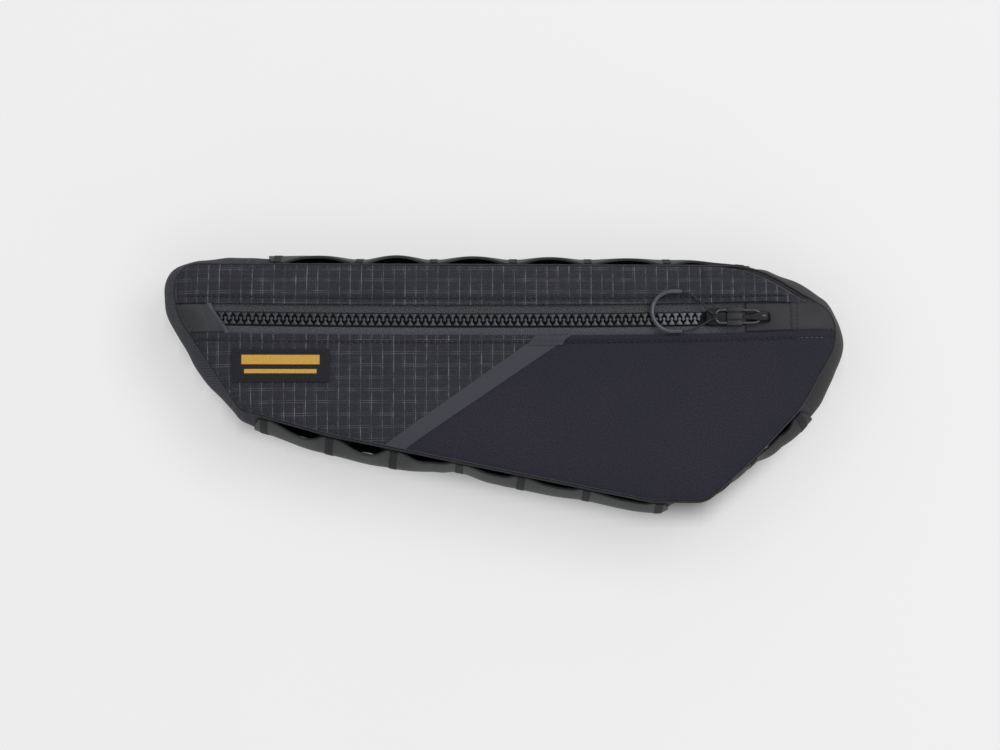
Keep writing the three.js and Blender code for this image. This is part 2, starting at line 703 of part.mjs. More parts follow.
function pullGrip() {
  const tailEnd = (share, side) => new THREE.Vector3(GRIP_TAIL * share, GRIP_RADIUS * side, 0);
  const bend = shares(10).map((share) => {
    const angle = PI / 2 + PI * share;
    return new THREE.Vector3(GRIP_RADIUS * cos(angle), GRIP_RADIUS * sin(angle), 0);
  });
  const route = [tailEnd(1, 1), tailEnd(0.5, 1), ...bend, tailEnd(0.5, -1), tailEnd(1, -1)];
  route.forEach((point) => point.add(gripCentre));
  return tubeAlong(new THREE.CatmullRomCurve3(route), GRIP_TUBE, 8, GRIP_STEPS);
}

// A strand of the cord, from one end of the grip to the tail of the link
function pullCord(side) {
  const start = gripCentre.clone().add(new THREE.Vector3(GRIP_TAIL + GAP, side * GRIP_RADIUS, 0));
  const end = new THREE.Vector3(
    eye.x - LINK_LENGTH - LINK_WIRE / 2 - CORD_CLEARANCE,
    eye.y + side * CORD_HITCH,
    eye.z,
  );
  const route = CORD_ROUTE.map(([along, across, up]) => new THREE.Vector3(
    mix(start.x, end.x, along),
    mix(start.y, end.y, across),
    mix(start.z, end.z, up),
  ));
  return tubeAlong(new THREE.CatmullRomCurve3(route), CORD_DIAMETER, 8, 12);
}

function labelPatch() {
  const [x, y] = place([LABEL_X_SHARE, LABEL_Y_SHARE]);
  const low = [x - LABEL_LENGTH / 2, y - LABEL_HEIGHT / 2];
  const high = [x + LABEL_LENGTH / 2, y + LABEL_HEIGHT / 2];
  const edges = {
    bottom: line(low, [high[0], low[1]]),
    top: line([low[0], high[1]], high),
    left: line(low, [low[0], high[1]]),
    right: line([high[0], low[1]], high),
  };
  const labelTop = (px, py) => frontZ(px, py) + 2 * GAP + LABEL_THICKNESS;
  return panel(edges, shares(8), shares(4), labelTop, LABEL_THICKNESS);
}

// The lower rim of the side wall, drawn in where the bag leans
function rimPoint(distance) {
  const [x, y] = outlinePoint(distance);
  const [nx, ny] = outlineNormal(distance);
  const inset = wallRow(distance)[1];
  return [x - nx * inset, y - ny * inset];
}

function backPanel() {
  const corners = [seams.lowerTail, seams.upperTail, seams.upperNose, seams.lowerNose];
  const rim = (from, to) => (share) => rimPoint(from + stretch(from, to) * share);
  const edges = {
    bottom: reversed(rim(corners[3], corners[0])),
    top: rim(corners[1], corners[2]),
    left: rim(corners[0], corners[1]),
    right: reversed(rim(corners[2], corners[3])),
  };
  const u = [0, 0.02, ...shares(13).map((share) => mix(0.05, 0.95, share)), 0.98, 1];
  const v = [0, 0.06, 0.14, 0.36, 0.64, 0.86, 0.94, 1];
  return panel(edges, u, v, (x, y) => backZ(x, y) + CLOTH, CLOTH);
}

// The side wall stands between the two panels' rims
const WALL_LOW = BACK_RISE + CLOTH + GAP;
const WALL_HIGH = BAG_DEPTH - FRONT_DROP - CLOTH - GAP;

// Each strip's tacks along the outline, and where its sections stand
const chains = Object.entries(CHAINS).map(([name, { tacks, loops }]) => {
  const places = tacks.map(seamAt);
  const marks = [places[0] - STRIP_END];
  places.forEach((tack, index) => {
    const start = tack + TACK_LENGTH / 2;
    marks.push(tack - TACK_LENGTH / 2, start);
    if (index === loops.length) return;
    const span = stretch(tack, places[index + 1]) - TACK_LENGTH;
    for (const share of LOOP_SECTIONS) marks.push(start + span * share);
  });
  const room = stretch(places.at(-1), seams.top) - GAP;
  marks.push(places.at(-1) + min(STRIP_END, room));
  return { name, places, loops, marks };
});

// The loop at a place of a strip: how full it is, the wall's bulge below it and the way through
function loopAt({ places, loops }, distance) {
  for (let index = 0; index < loops.length; index++) {
    const span = stretch(places[index], places[index + 1]) - TACK_LENGTH;
    const past = stretch(places[index] + TACK_LENGTH / 2, distance);
    if (past < span) {
      const [rest, gap] = [loops[index][0] * GUSSET_BULGE, loops[index][1] * LOOP_HEIGHT];
      return { full: sin(PI * past / span) ** LOOP_FULLNESS, rest, gap };
    }
  }
  return { full: 0, rest: 0, gap: 0 };
}

function chainOver(distance) {
  return chains.find(({ marks }) => stretch(marks[0], distance) <= marks.at(-1) - marks[0]);
}

// The wall's bulge at mid-depth, drawn in under the loops
function bulgeAt(distance) {
  const chain = chainOver(distance);
  const plain = wallRow(distance)[0];
  if (!chain) return plain;
  const { full, rest } = loopAt(chain, distance);
  return mix(plain, rest, full);
}

const leanAt = (distance, share) => wallRow(distance)[1] * (1 - share);
const wallOffset = (distance, share) => bulgeAt(distance) * sin(PI * share) - leanAt(distance, share);

function wallPoint(distance, share, offset) {
  const [x, y] = outlinePoint(distance);
  const [nx, ny] = outlineNormal(distance);
  return [x + nx * offset, y + ny * offset, mix(WALL_LOW, WALL_HIGH, share)];
}

// Sections of a stretch of wall: those of the strips on it, and even steps between them
function wallMarks(from, to) {
  const span = stretch(from, to);
  const fixed = chains.flatMap(({ marks }) => marks)
    .map((mark) => stretch(from, mark)).filter((mark) => mark > MARK_ROOM && mark < span - MARK_ROOM);
  const ordered = [0, ...fixed.sort((a, b) => a - b), span];
  const marks = [0];
  for (let index = 1; index < ordered.length; index++) {
    const step = ordered[index] - ordered[index - 1];
    const parts = max(1, round(step / WALL_STEP));
    for (let part = 1; part <= parts; part++) marks.push(ordered[index - 1] + step * part / parts);
  }
  return marks.map((mark) => from + mark);
}

function gusset(from, to) {
  const marks = wallMarks(from + GAP / 2, to - GAP / 2);
  const grid = (inset) => marks.map((mark) => shares(4).map(
    (share) => wallPoint(mark, share, wallOffset(mark, share) - inset),
  ));
  return slab(grid(0), grid(CLOTH));
}

// A lashing strip follows the wall at its tacks and runs flat across it at its loops
function lashingStrip(chain) {
  const grid = (extra) => chain.marks.map((mark) => {
    const { full, gap } = loopAt(chain, mark);
    const width = STRIP_WIDTH_SHARE - 2 * STRIP_SCALLOP_SHARE * full;
    return shares(4).map((across) => {
      const share = 0.5 + width * (across - 0.5);
      const laid = wallOffset(mark, share) + GAP;
      const raised = bulgeAt(mark) - leanAt(mark, share) + gap;
      return wallPoint(mark, share, mix(laid, raised, full) + extra);
    });
  });
  return slab(grid(STRIP_THICKNESS), grid(0));
}

const pieces = [
  ['back_panel', 'plain', backPanel()],
  ['gusset_top', 'ripstop', gusset(seams.tail, seams.top)],
  ['gusset_nose', 'coated', gusset(seams.top, seams.nose)],
  ['gusset_bottom', 'ripstop', gusset(seams.nose, seams.tail)],
  ['front_panel_upper', 'ripstop', frontPanelUpper()],
  ['front_panel_lower', 'ripstop', frontPanelLower()],
  ['accent_band', 'band', accentBand()],
  ['front_panel_plain', 'plain', frontPanelPlain()],
  ['garage_left', 'coated', garageLeft()],
  ['garage_right', 'coated', garageRight()],
  ['zip_tape_upper', 'tape', zipTape(1)],
  ['zip_tape_lower', 'tape', zipTape(-1)],
  ['zip_teeth_upper', 'teeth', zipTeeth(1)],
  ['zip_teeth_lower', 'teeth', zipTeeth(-1)],
  ['zip_slider', 'slider', zipSlider()],
  ['pull_link', 'slider', pullLink()],
  ['pull_cord_upper', 'cord', pullCord(1)],
  ['pull_cord_lower', 'cord', pullCord(-1)],
  ['pull_grip', 'grip', pullGrip()],
  ['label_patch', 'label', labelPatch()],
  ...chains.map((chain) => [chain.name, 'coated', lashingStrip(chain)]),
];

// The group stands with its origin under the middle of the whole bag
const bag = new THREE.Group();
for (const [name, finish, geometry] of pieces) {
  const mesh = new THREE.Mesh(geometry, new THREE.MeshStandardMaterial(FINISHES[finish]));
  mesh.name = name;
  bag.add(mesh);
}
const bounds = new THREE.Box3().setFromObject(bag);
bag.position.set(-(bounds.min.x + bounds.max.x) / 2, -(bounds.min.y + bounds.max.y) / 2, -bounds.min.z);

export default bag;
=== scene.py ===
# %% [markdown]
# # A half-frame bicycle bag that lies on its back
# The solids of the bag come packed, and this script dresses them: cloth with its weave and folds, a zip
# with moulded teeth, a cord pull, sewn lashing strips, thread, and soft studio light.

import math

import bmesh
import bpy
import numpy as np
from mathutils import Matrix, Vector


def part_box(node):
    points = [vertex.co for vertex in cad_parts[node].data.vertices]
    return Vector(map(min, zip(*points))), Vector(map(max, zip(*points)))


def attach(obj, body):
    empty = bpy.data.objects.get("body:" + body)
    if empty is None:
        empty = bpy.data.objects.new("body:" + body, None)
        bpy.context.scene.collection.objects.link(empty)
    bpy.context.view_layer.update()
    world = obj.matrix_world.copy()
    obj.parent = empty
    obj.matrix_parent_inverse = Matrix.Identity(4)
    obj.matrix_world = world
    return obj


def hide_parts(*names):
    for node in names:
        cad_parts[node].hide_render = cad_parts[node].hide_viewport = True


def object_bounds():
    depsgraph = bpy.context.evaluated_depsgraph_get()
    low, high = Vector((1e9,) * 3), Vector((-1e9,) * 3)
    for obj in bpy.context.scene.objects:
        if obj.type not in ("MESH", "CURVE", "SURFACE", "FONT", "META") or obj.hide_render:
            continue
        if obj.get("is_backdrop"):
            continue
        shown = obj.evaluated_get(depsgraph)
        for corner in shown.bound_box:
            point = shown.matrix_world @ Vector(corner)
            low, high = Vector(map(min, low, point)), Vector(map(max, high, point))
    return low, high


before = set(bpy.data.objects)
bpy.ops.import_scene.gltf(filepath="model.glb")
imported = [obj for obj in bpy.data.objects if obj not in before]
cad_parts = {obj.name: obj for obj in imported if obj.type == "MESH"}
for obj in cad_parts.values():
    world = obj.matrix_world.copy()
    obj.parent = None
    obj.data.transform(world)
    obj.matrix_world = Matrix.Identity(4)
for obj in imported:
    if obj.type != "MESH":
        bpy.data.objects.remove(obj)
cad_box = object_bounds()
print("solids:", len(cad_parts), "box in mm:", [[round(v * 1000, 1) for v in c] for c in cad_box])

# %% [markdown]
# ## The outline
# Both sides of the bag share one sewn outline: straight runs joined by arcs. It could be drawn by hand as a
# curve, but the same short table of corners that shaped the solids keeps every new piece where the solid is.
# All tables are in millimetres or in shares of the two seam sizes; `row` turns the result into metres.

# %% Outline of the seam
SEAM_LENGTH, SEAM_HEIGHT, DEPTH = 378, 137, 58
CORNERS = [
    (0, 1, .14), (.878, .99, .42), (.993, .8, .14), (1, .67, .22), (.945, .4, .5), (.877, .2, .15),
    (.8, .005, .1), (.72, .006, .4), (.235, .282, 1.2), (.1, .388, .035), (-.003, .81, .28),
]


def place(share):
    return np.array([(share[0] - .5) * SEAM_LENGTH, (share[1] - .5) * SEAM_HEIGHT])


def rounded(corners):
    """Points of an outline whose corners are arcs."""
    points = []
    spots = [place(c[:2]) for c in corners]
    for i, spot in enumerate(spots):
        before, after = spots[i - 1] - spot, spots[(i + 1) % len(spots)] - spot
        inward = math.atan2(-before[1], -before[0])
        onward = math.atan2(after[1], after[0])
        turn = math.atan2(math.sin(onward - inward), math.cos(onward - inward))
        slope = math.tan(abs(turn) / 2)
        room = .49 * min(np.hypot(*before), np.hypot(*after))
        cut = min(corners[i][2] * SEAM_HEIGHT * slope, room)
        bend, side = cut / slope, math.copysign(1, turn)
        start = spot - cut * np.array([math.cos(inward), math.sin(inward)])
        centre = start + side * bend * np.array([-math.sin(inward), math.cos(inward)])
        steps = max(3, math.ceil(abs(turn) / (math.pi / 40)))
        for step in range(steps + 1):
            angle = inward + turn * step / steps
            points.append(centre + side * bend * np.array([math.sin(angle), -math.cos(angle)]))
    return np.array(points + points[:1])


OUTLINE = rounded(CORNERS)
ALONG = np.concatenate([[0], np.cumsum(np.hypot(*np.diff(OUTLINE, axis=0).T))])
AROUND = ALONG[-1]
print("seam outline:", len(OUTLINE), "points,", round(AROUND), "mm around")

# %% [markdown]
# ## Places on and beside the outline
# A maker marks a seam by its length from one corner. Points could be looked up in the list by number, but
# that breaks as soon as a corner moves, so these helpers walk along the outline in millimetres, step outwards
# from it, and tell how far any place is from the seam.

# %% Follow the outline and measure from it


def on_outline(distance):
    along = np.mod(distance, AROUND)
    return np.stack([np.interp(along, ALONG, OUTLINE[:, i]) for i in (0, 1)], -1)


def outward(distance):
    step = on_outline(np.asarray(distance) + 3) - on_outline(np.asarray(distance) - 3)
    step = step / np.hypot(step[..., 0], step[..., 1])[..., None]
    return np.stack([-step[..., 1], step[..., 0]], -1)


def nearest(x, y):
    """Distance along the outline to its closest place, and distance to it."""
    side = np.diff(OUTLINE, axis=0)
    real = np.hypot(*side.T) > 1e-6
    a, side, start = OUTLINE[:-1][real], side[real], ALONG[:-1][real]
    spot = np.stack(np.broadcast_arrays(x, y), -1)[..., None, :]
    share = np.clip(((spot - a) * side).sum(-1) / (side ** 2).sum(-1), 0, 1)
    away = np.linalg.norm(spot - a - share[..., None] * side, axis=-1)
    best = away.argmin(-1)[..., None]
    pick = np.take_along_axis(share, best, -1)[..., 0]
    best = best[..., 0]
    return start[best] + pick * np.hypot(*side.T)[best], away.min(-1)


def seam_at(share):
    return float(nearest(*place(share))[0])


def stretch(start, end):
    return (end - start) % AROUND


LABEL_SIZE, LABEL_AT = (55.7, 18.9), place((.161, .565))
low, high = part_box("label_patch")
SHIFT = np.array([(low.x + high.x) * 500 - LABEL_AT[0], (low.y + high.y) * 500 - LABEL_AT[1], 0])


def row(points):
    """Millimetres round the seam's middle to metres in the frame of the solids."""
    return (np.asarray(points, float) + SHIFT) / 1000


def mix(a, b, share):
    return a + (b - a) * share


def smooth(x, start, end):
    share = np.clip((np.asarray(x, float) - start) / (end - start), 0, 1)
    return share * share * (3 - 2 * share)


print("shift in mm:", SHIFT.round(3))

# %% [markdown]
# ## The camera
# The bag was photographed from almost straight above, leaning nine degrees towards its lower edge, with a
# long lens. A camera needs a place, a direction and a lens: here the place is worked back from the point
# that it looks at, so that the direction and the distance stay two plain numbers.

# %% Camera above the bag
LOOK_AT = Vector((-.0020, .0052, .029))
LEAN, DISTANCE = math.radians(9), 1.77

lens = bpy.data.cameras.new("camera")
lens.lens, lens.sensor_width, lens.clip_end = 110.24, 36, 20
camera = bpy.data.objects.new("camera", lens)
camera.rotation_euler = (LEAN, 0, 0)
camera.location = LOOK_AT + DISTANCE * Vector((0, -math.sin(LEAN), math.cos(LEAN)))
bpy.context.scene.collection.objects.link(camera)
bpy.context.scene.camera = camera
print("camera at", [round(v, 3) for v in camera.location])

# %% [markdown]
# ## Shader sums
# Cloth is mostly a sum of small patterns. Written as nodes these sums are long, so one small class wraps a
# socket and takes part in Python sums: each operator adds its Math node.

# %% A socket that can be added and multiplied


class Socket:
    def __init__(self, finish, output):
        self.finish, self.output = finish, output

    def math(self, operation, a, b=0.0):
        return self.finish.node("ShaderNodeMath", {"operation": operation}, {0: a, 1: b})

    def __add__(self, other):
        return self.math("ADD", self, other)

    def __sub__(self, other):
        return self.math("SUBTRACT", self, other)

    def __rsub__(self, other):
        return self.math("SUBTRACT", other, self)

    def __mul__(self, other):
        return self.math("MULTIPLY", self, other)

    def __truediv__(self, other):
        return self.math("DIVIDE", self, other)

    def __abs__(self):
        return self.math("ABSOLUTE", self)

    def __mod__(self, other):
        return self.math("FLOORED_MODULO", self, other)

    __radd__ = __add__
    __rmul__ = __mul__


# %% [markdown]
# ## One material, made from Python
# A finish is a Principled shader with a colour, a roughness and a fine relief. Its nodes could be wired by
# hand in the editor. One method that takes a node's type, settings and values does the same again and again.

# %% A finish: one material with its nodes


def tone(red, green, blue):
    """A colour as it is read off a screen, made linear."""
    return tuple(((c / 255 + .055) / 1.055) ** 2.4 if c > 10 else c / 3295 for c in (red, green, blue)) + (1,)


class Finish:
    def __init__(self, name):
        self.material = bpy.data.materials.new(name)
        self.material.use_nodes = True
        self.tree = self.material.node_tree
        self.shader = self.tree.nodes["Principled BSDF"]

    def node(self, kind, settings=None, values=None, out=0):
        made = self.tree.nodes.new(kind)
        for name, value in (settings or {}).items():
            setattr(made, name, value)
        for name, value in (values or {}).items():
            if isinstance(value, Socket):
                self.tree.links.new(value.output, made.inputs[name])
            else:
                made.inputs[name].default_value = value
        return Socket(self, made.outputs[out])

    def cloth(self):
        """Place on the cloth in mm, along and across, from the piece's own UV map."""
        uv = self.node("ShaderNodeUVMap", {"uv_map": "cloth"})
        return self.node("ShaderNodeVectorMath", {"operation": "SCALE"}, {0: uv, "Scale": 1000})

    def solid(self):
        """Place in the object in mm."""
        place_of = self.node("ShaderNodeTexCoord", out="Object")
        return self.node("ShaderNodeVectorMath", {"operation": "SCALE"}, {0: place_of, "Scale": 1000})

    def split(self, vector):
        parts = self.node("ShaderNodeSeparateXYZ", values={0: vector})
        return [Socket(self, parts.output.node.outputs[i]) for i in range(3)]

    def noise(self, vector, scale, detail, rough=.5):
        return self.node("ShaderNodeTexNoise", values={
            "Vector": vector, "Scale": scale, "Detail": detail, "Roughness": rough})

    def between(self, value, start, end):
        return self.node("ShaderNodeMapRange", {"interpolation_type": "SMOOTHSTEP"}, {
            "Value": value, "From Min": start, "From Max": end, "To Min": 0.0, "To Max": 1.0})

    def blend(self, share, a, b):
        return self.node("ShaderNodeMix", {"data_type": "RGBA"}, {0: share, 6: a, 7: b}, out=2)

    def thread(self, across, pitch, width):
        """1 on threads that lie a pitch apart, 0 between them."""
        off = abs((across / pitch) % 1.0 - .5) * pitch
        return self.between(off, pitch / 2 - width, pitch / 2 - width * .3)

    def finish(self, colour, rough, height=None, bump=.2, gloss=.5):
        def put(name, value):
            if isinstance(value, Socket):
                self.tree.links.new(value.output, self.shader.inputs[name])
            else:
                self.shader.inputs[name].default_value = value
        put("Base Color", colour)
        put("Roughness", rough)
        put("Specular IOR Level", gloss)
        if height is not None:
            put("Normal", self.node("ShaderNodeBump", values={
                "Strength": 1.0, "Distance": bump / 1000, "Height": height}, out="Normal"))
        return self.material


# %% [markdown]
# ## The cloths
# The bag mixes four cloths: a ripstop with a grid of heavier threads, a plain dark weave, a bias-cut band and
# a coated cloth that is smooth to the touch. A photo texture would be quick but ties the part to one
# picture. Here each cloth is threads worked out from the place on the cloth, so that it keeps its scale.

# %% Ripstop with its grid of threads


def wave(f, along, pitch):
    """A sine from -1 to 1 that repeats every pitch, in mm."""
    return f.node("ShaderNodeMath", {"operation": "SINE"}, {0: along * (2 * math.pi / pitch)})


def plain_weave(f, x, y, pitch):
    """Height of an over-and-under weave, 0 to 1."""
    return wave(f, x, pitch) * wave(f, y, pitch) * .5 + .5


POST_PITCH, RAIL_PITCH = 6.25, 7.05


def ripstop(name, fade=None):
    """Ripstop; its grid shows only between two places along X in mm, if they are given."""
    f = Finish(name)
    at = f.cloth()
    x, y, _ = f.split(at)
    wander = f.noise(at, .05, 1) - .5
    up, level = x + wander * .8, y + wander * .8
    knots = wave(f, level, 1.18) * .5 + .5
    beads = wave(f, up, 1.25) * .5 + .5
    uneven = f.between(f.noise(at, .075, 2, .6), .36, .66) * f.between(f.noise(at, .2, 2, .6), .32, .58)
    elsewhere = f.node("ShaderNodeVectorMath", {"operation": "ADD"}, {0: at, 1: (90, 40, 0)})
    other = f.between(f.noise(elsewhere, .09, 2, .6), .4, .68)
    posts = f.thread(up, POST_PITCH, .42) * (knots * .7 + .3) * (uneven * .8 + .14)
    posts = posts + f.thread(up + 1.1, POST_PITCH, .3) * knots * other * .35
    pair = f.thread(level, RAIL_PITCH, .34) + f.thread(level + 1.2, RAIL_PITCH, .34)
    rails = pair * (beads * .6 + .4) * (other * .34 + .1)
    rails = rails + f.thread(level + 3.6, RAIL_PITCH, .3) * beads * uneven * .16
    grid_of = posts + rails
    if fade is not None:
        along = f.split(f.solid())[0]
        shown = f.between(along, fade[0] - 6, fade[0] + 6) * f.between(along, fade[1] + 6, fade[1] - 6)
        twill = wave(f, x + y * .7, 1.9) * .5 + .5
        grid_of = grid_of * shown * .5 + (1 - shown) * twill * (uneven * .1 + .1)
    speck = f.noise(at, .95, 2, .75)
    patch = f.noise(at, .02, 2)
    ground = f.blend(f.between(patch, .35, .65), tone(48, 51, 53), tone(51, 49, 59))
    ground = f.blend(f.between(speck, .3, .7), tone(33, 35, 39), ground)
    # Painted shade: soft dark blotches stand in for the shading of small puckers in the cloth.
    painted_shade_blotches = f.between(f.noise(at, .034, 3, .6), .42, .7)
    ground = f.blend(painted_shade_blotches * .3, ground, tone(24, 25, 31))
    colour = f.blend(grid_of, ground, tone(116, 119, 124))
    weave = plain_weave(f, x, y, .62)
    return f.finish(colour, .72 + speck * .15, weave * .35 + grid_of * .8 + speck * .9, .18, gloss=.22)


# %% Plain weave, band and coated cloth


def plain():
    f = Finish("plain_weave")
    at = f.cloth()
    x, y, _ = f.split(at)
    slub = f.between(f.noise(at, 1.15, 2, .7), .3, .7)
    patch = f.noise(at, .012, 2)
    ground = f.blend(f.between(patch, .3, .7), tone(43, 43, 53), tone(49, 47, 58))
    colour = f.blend(slub, tone(33, 33, 43), ground)
    weave = plain_weave(f, x, y, .7)
    return f.finish(colour, .85, weave * .6 + slub * .7, .14, gloss=.2)


def band():
    f = Finish("band")
    at = f.cloth()
    x, y, _ = f.split(at)
    rib = wave(f, x + y, .9)
    slub = f.noise(at, .8, 2, .6)
    colour = f.blend(slub * .6 + rib * .06, tone(55, 55, 63), tone(68, 68, 78))
    return f.finish(colour, .75, rib * .4 + slub * .5, .1, gloss=.3)


def coated(name, dark, light):
    f = Finish(name)
    at = f.cloth()
    x, y, _ = f.split(at)
    cloud = f.noise(at, .05, 3, .6)
    fine = f.noise(at, 1.4, 2, .6)
    colour = f.blend(f.between(cloud, .3, .7), dark, light)
    colour = f.blend(fine * .3, colour, dark)
    weave = plain_weave(f, x, y, .8)
    return f.finish(colour, .52 + cloud * .15, weave * .3 + fine * .4 + cloud, .1, gloss=.3)


# %% The cloths by name
WALL_GRID = (-158, 126)
FINISHES = {
    "ripstop": ripstop("ripstop"), "wall_ripstop": ripstop("wall_ripstop", WALL_GRID),
    "plain_weave": plain(), "band": band(),
    "coated": coated("coated", tone(43, 45, 46), tone(55, 57, 59)),
    "nose": coated("nose", tone(35, 35, 38), tone(46, 46, 50)),
    # wall_nose: a darker copy of the coated cloth, painted shade on the wall round the nose and on the front
    # strip.
    "wall_nose": coated("wall_nose", tone(22, 22, 25), tone(32, 32, 36)),
    # rim: a lighter copy of the coated cloth, a painted highlight on the left patch's raised fold and on the
    # folded edge near the nose.
    "rim": coated("rim", tone(56, 58, 61), tone(76, 78, 82)),
    "strip": coated("strip", tone(38, 42, 41), tone(51, 54, 53)),
}
print("cloths:", ", ".join(FINISHES))

# %% [markdown]
# ## Hard parts, cord, label and thread
# The teeth and the slider are moulded, the grip is a soft tube, the cord is braided and the label is woven.
# Each differs mostly in gloss, so roughness and a fine bump do the work, and colour hardly changes.

# %% Tape, moulded parts and teeth


def tape():
    f = Finish("tape")
    at = f.cloth()
    x, y, _ = f.split(at)
    twill = wave(f, x + y * .6, 1.1)
    speck = f.between(f.noise(at, 1.5, 2, .7), .4, .62)
    colour = f.blend(speck * .6 + twill * .12 + .1, tone(31, 32, 35), tone(96, 97, 103))
    # Painted light: the lower tape is painted lighter than the upper one, though both are the same cloth.
    colour = f.blend(f.between(y, 1.0, -1.0) * .14, colour, tone(120, 121, 126))
    # Painted shadow: the tape is near black within about 4 mm of the zip's middle, where the teeth shade it.
    colour = f.blend(f.between(abs(y), 4.6, 3.8), colour, tone(9, 9, 11))
    return f.finish(colour, .85, twill * .5 + speck * .6, .18)


def moulded(name, dark, light, rough, gloss):
    f = Finish(name)
    at = f.solid()
    grain = f.noise(at, 2.5, 2, .6)
    patchy_tone = f.between(f.noise(at, .35, 2), .4, .65)
    colour = f.blend(patchy_tone * .6 + grain * .2, dark, light)
    return f.finish(colour, rough + grain * .12, grain, .03, gloss=gloss)


def tooth_plastic():
    """Moulded plastic, painted paler on the teeth nearest the slider as a painted highlight."""
    f = Finish("teeth")
    at = f.solid()
    grain = f.noise(at, 2.5, 2, .6)
    patchy_tone = f.between(f.noise(at, .35, 2), .4, .65)
    # Painted highlight: the teeth nearest the slider are painted paler.
    painted_highlight = f.between(f.split(at)[0], 74, 100) * .45
    # Random paler patches: partly uneven plastic, partly a painted highlight for teeth that catch the light.
    colour = f.blend(patchy_tone * .6 + grain * .2, tone(36, 37, 40), tone(62, 63, 68))
    return f.finish(f.blend(painted_highlight, colour, tone(112, 114, 120)), .3 + grain * .12, grain, .03, gloss=.4)


# %% Cord and label


def braided():
    f = Finish("cord")
    at = f.cloth()
    x, y, _ = f.split(at)
    plait = wave(f, x * 1.4 + y * 2.1, 2) * wave(f, x * 1.4 - y * 2.1, 2)
    strand = f.between(plait, -.4, .6)
    return f.finish(f.blend(strand, tone(18, 18, 20), tone(46, 46, 50)), .7, strand, .12)


def woven_label():
    f = Finish("label")
    at = f.cloth()
    x, y, _ = f.split(at)
    ends = f.between(abs(x), 22.4, 22.0)
    thick = f.between(abs(y - 3.4), 2.8, 2.6) * ends
    thin = f.between(abs(y + 3.3), 1.3, 1.15) * f.between(abs(x), 20.8, 20.4)
    pick, warp = wave(f, y, .55), wave(f, x, .8)
    slub = f.noise(at, 1.2, 1)
    gold = f.blend(slub * .7 + pick * .12, tone(180, 136, 52), tone(250, 202, 100))
    cloth = f.blend(slub, tone(15, 15, 19), tone(40, 40, 45))
    colour = f.blend(thick + thin, cloth, gold)
    return f.finish(colour, .72, pick * .5 + warp * .4 + (thick + thin) * .8, .15, gloss=.3)


# %% Tacks and thread


def tack():
    """Close zigzag rows of thread."""
    f = Finish("tack")
    at = f.cloth()
    x, y, _ = f.split(at)
    rows = f.thread(y + abs((x / 1.4) % 1.0 - .5) * 1.8, 1.25, .42)
    colour = f.blend(rows * .8 + f.noise(at, 1.0, 1) * .2, tone(17, 18, 20), tone(44, 45, 49))
    return f.finish(colour, .75, rows, .25, gloss=.25)


def thread(name, dark, light):
    f = Finish(name)
    at = f.solid()
    twist = f.noise(at, 3.0, 1)
    return f.finish(f.blend(twist, dark, light), .6, twist, .05)


# %% The finishes by name
FINISHES.update({
    "tape": tape(), "cord": braided(), "label": woven_label(),
    "teeth": tooth_plastic(), "tack": tack(),
    "slider": moulded("slider", tone(13, 14, 16), tone(24, 25, 28), .34, .2),
    "block": moulded("block", tone(20, 21, 24), tone(34, 35, 39), .45, .35),
    "wire": moulded("wire", tone(24, 25, 28), tone(38, 39, 43), .16, .9),
    "crown": moulded("crown", tone(6, 6, 8), tone(12, 12, 14), .24, .45),
    "grip": moulded("grip", tone(50, 53, 61), tone(66, 69, 78), .2, .6),
    # thread: near-black, the thread's own colour; the large beads beside the zip also stand in for the shade
    # of the groove they lie in, and on the seam tube it is painted shade.
    "thread": thread("thread", tone(6, 6, 10), tone(17, 17, 23)),
    "pale_thread": thread("pale_thread", tone(70, 72, 80), tone(112, 114, 124)),
})
print("finishes:", len(FINISHES))

# %% [markdown]
# ## Turning a grid into cloth
# Every sewn piece here is a sheet. One way is to model each by hand; another, used here, is to start from an
# operator's flat grid and move its points to where the cloth lies. The grid's own corners become the cloth's
# UV map, in metres, so a weave follows the sheet round every bend. Solidify then gives it a wall.

# %% Grid and piece


def grid(columns, rows, mapping, turned=False):
    """A grid whose (u, v) from 0 to 1 goes through mapping, which gives points and cloth places in mm."""
    bm = bmesh.new()
    bmesh.ops.create_grid(bm, x_segments=columns, y_segments=rows, size=1)
    bm.verts.index_update()
    uv = np.array([v.co[:2] for v in bm.verts]) / 2 + .5
    points, cloth = mapping(uv[:, 0], uv[:, 1])
    for vert, point in zip(bm.verts, row(points)):
        vert.co = point
    layer = bm.loops.layers.uv.new("cloth")
    for face in bm.faces:
        for loop in face.loops:
            loop[layer].uv = cloth[loop.vert.index] / 1000
    if turned:
        bmesh.ops.reverse_faces(bm, faces=bm.faces)
    return bm


def piece(bm, name, finish, body="bag", instead=(), wall=0, edge=0, segments=2):
    """The mesh as an object of the bag, with a wall and rounded edges where they are given."""
    mesh = bpy.data.meshes.new(name)
    bm.to_mesh(mesh)
    bm.free()
    mesh.shade_smooth()
    made = bpy.data.objects.new(name, mesh)
    bpy.context.scene.collection.objects.link(made)
    mesh.materials.append(FINISHES[finish])
    if wall:
        shell = made.modifiers.new("wall", "SOLIDIFY")
        shell.thickness, shell.offset, shell.use_even_offset = wall / 1000, -1, False
    if edge:
        soft = made.modifiers.new("edge", "BEVEL")
        soft.width, soft.segments, soft.limit_method = edge / 1000, segments, "ANGLE"
        soft.angle_limit = math.radians(50)
    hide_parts(*instead)
    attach(made, body)
    print(name, "-", len(mesh.polygons), "faces")
    return made


# %% Round tube and smooth line


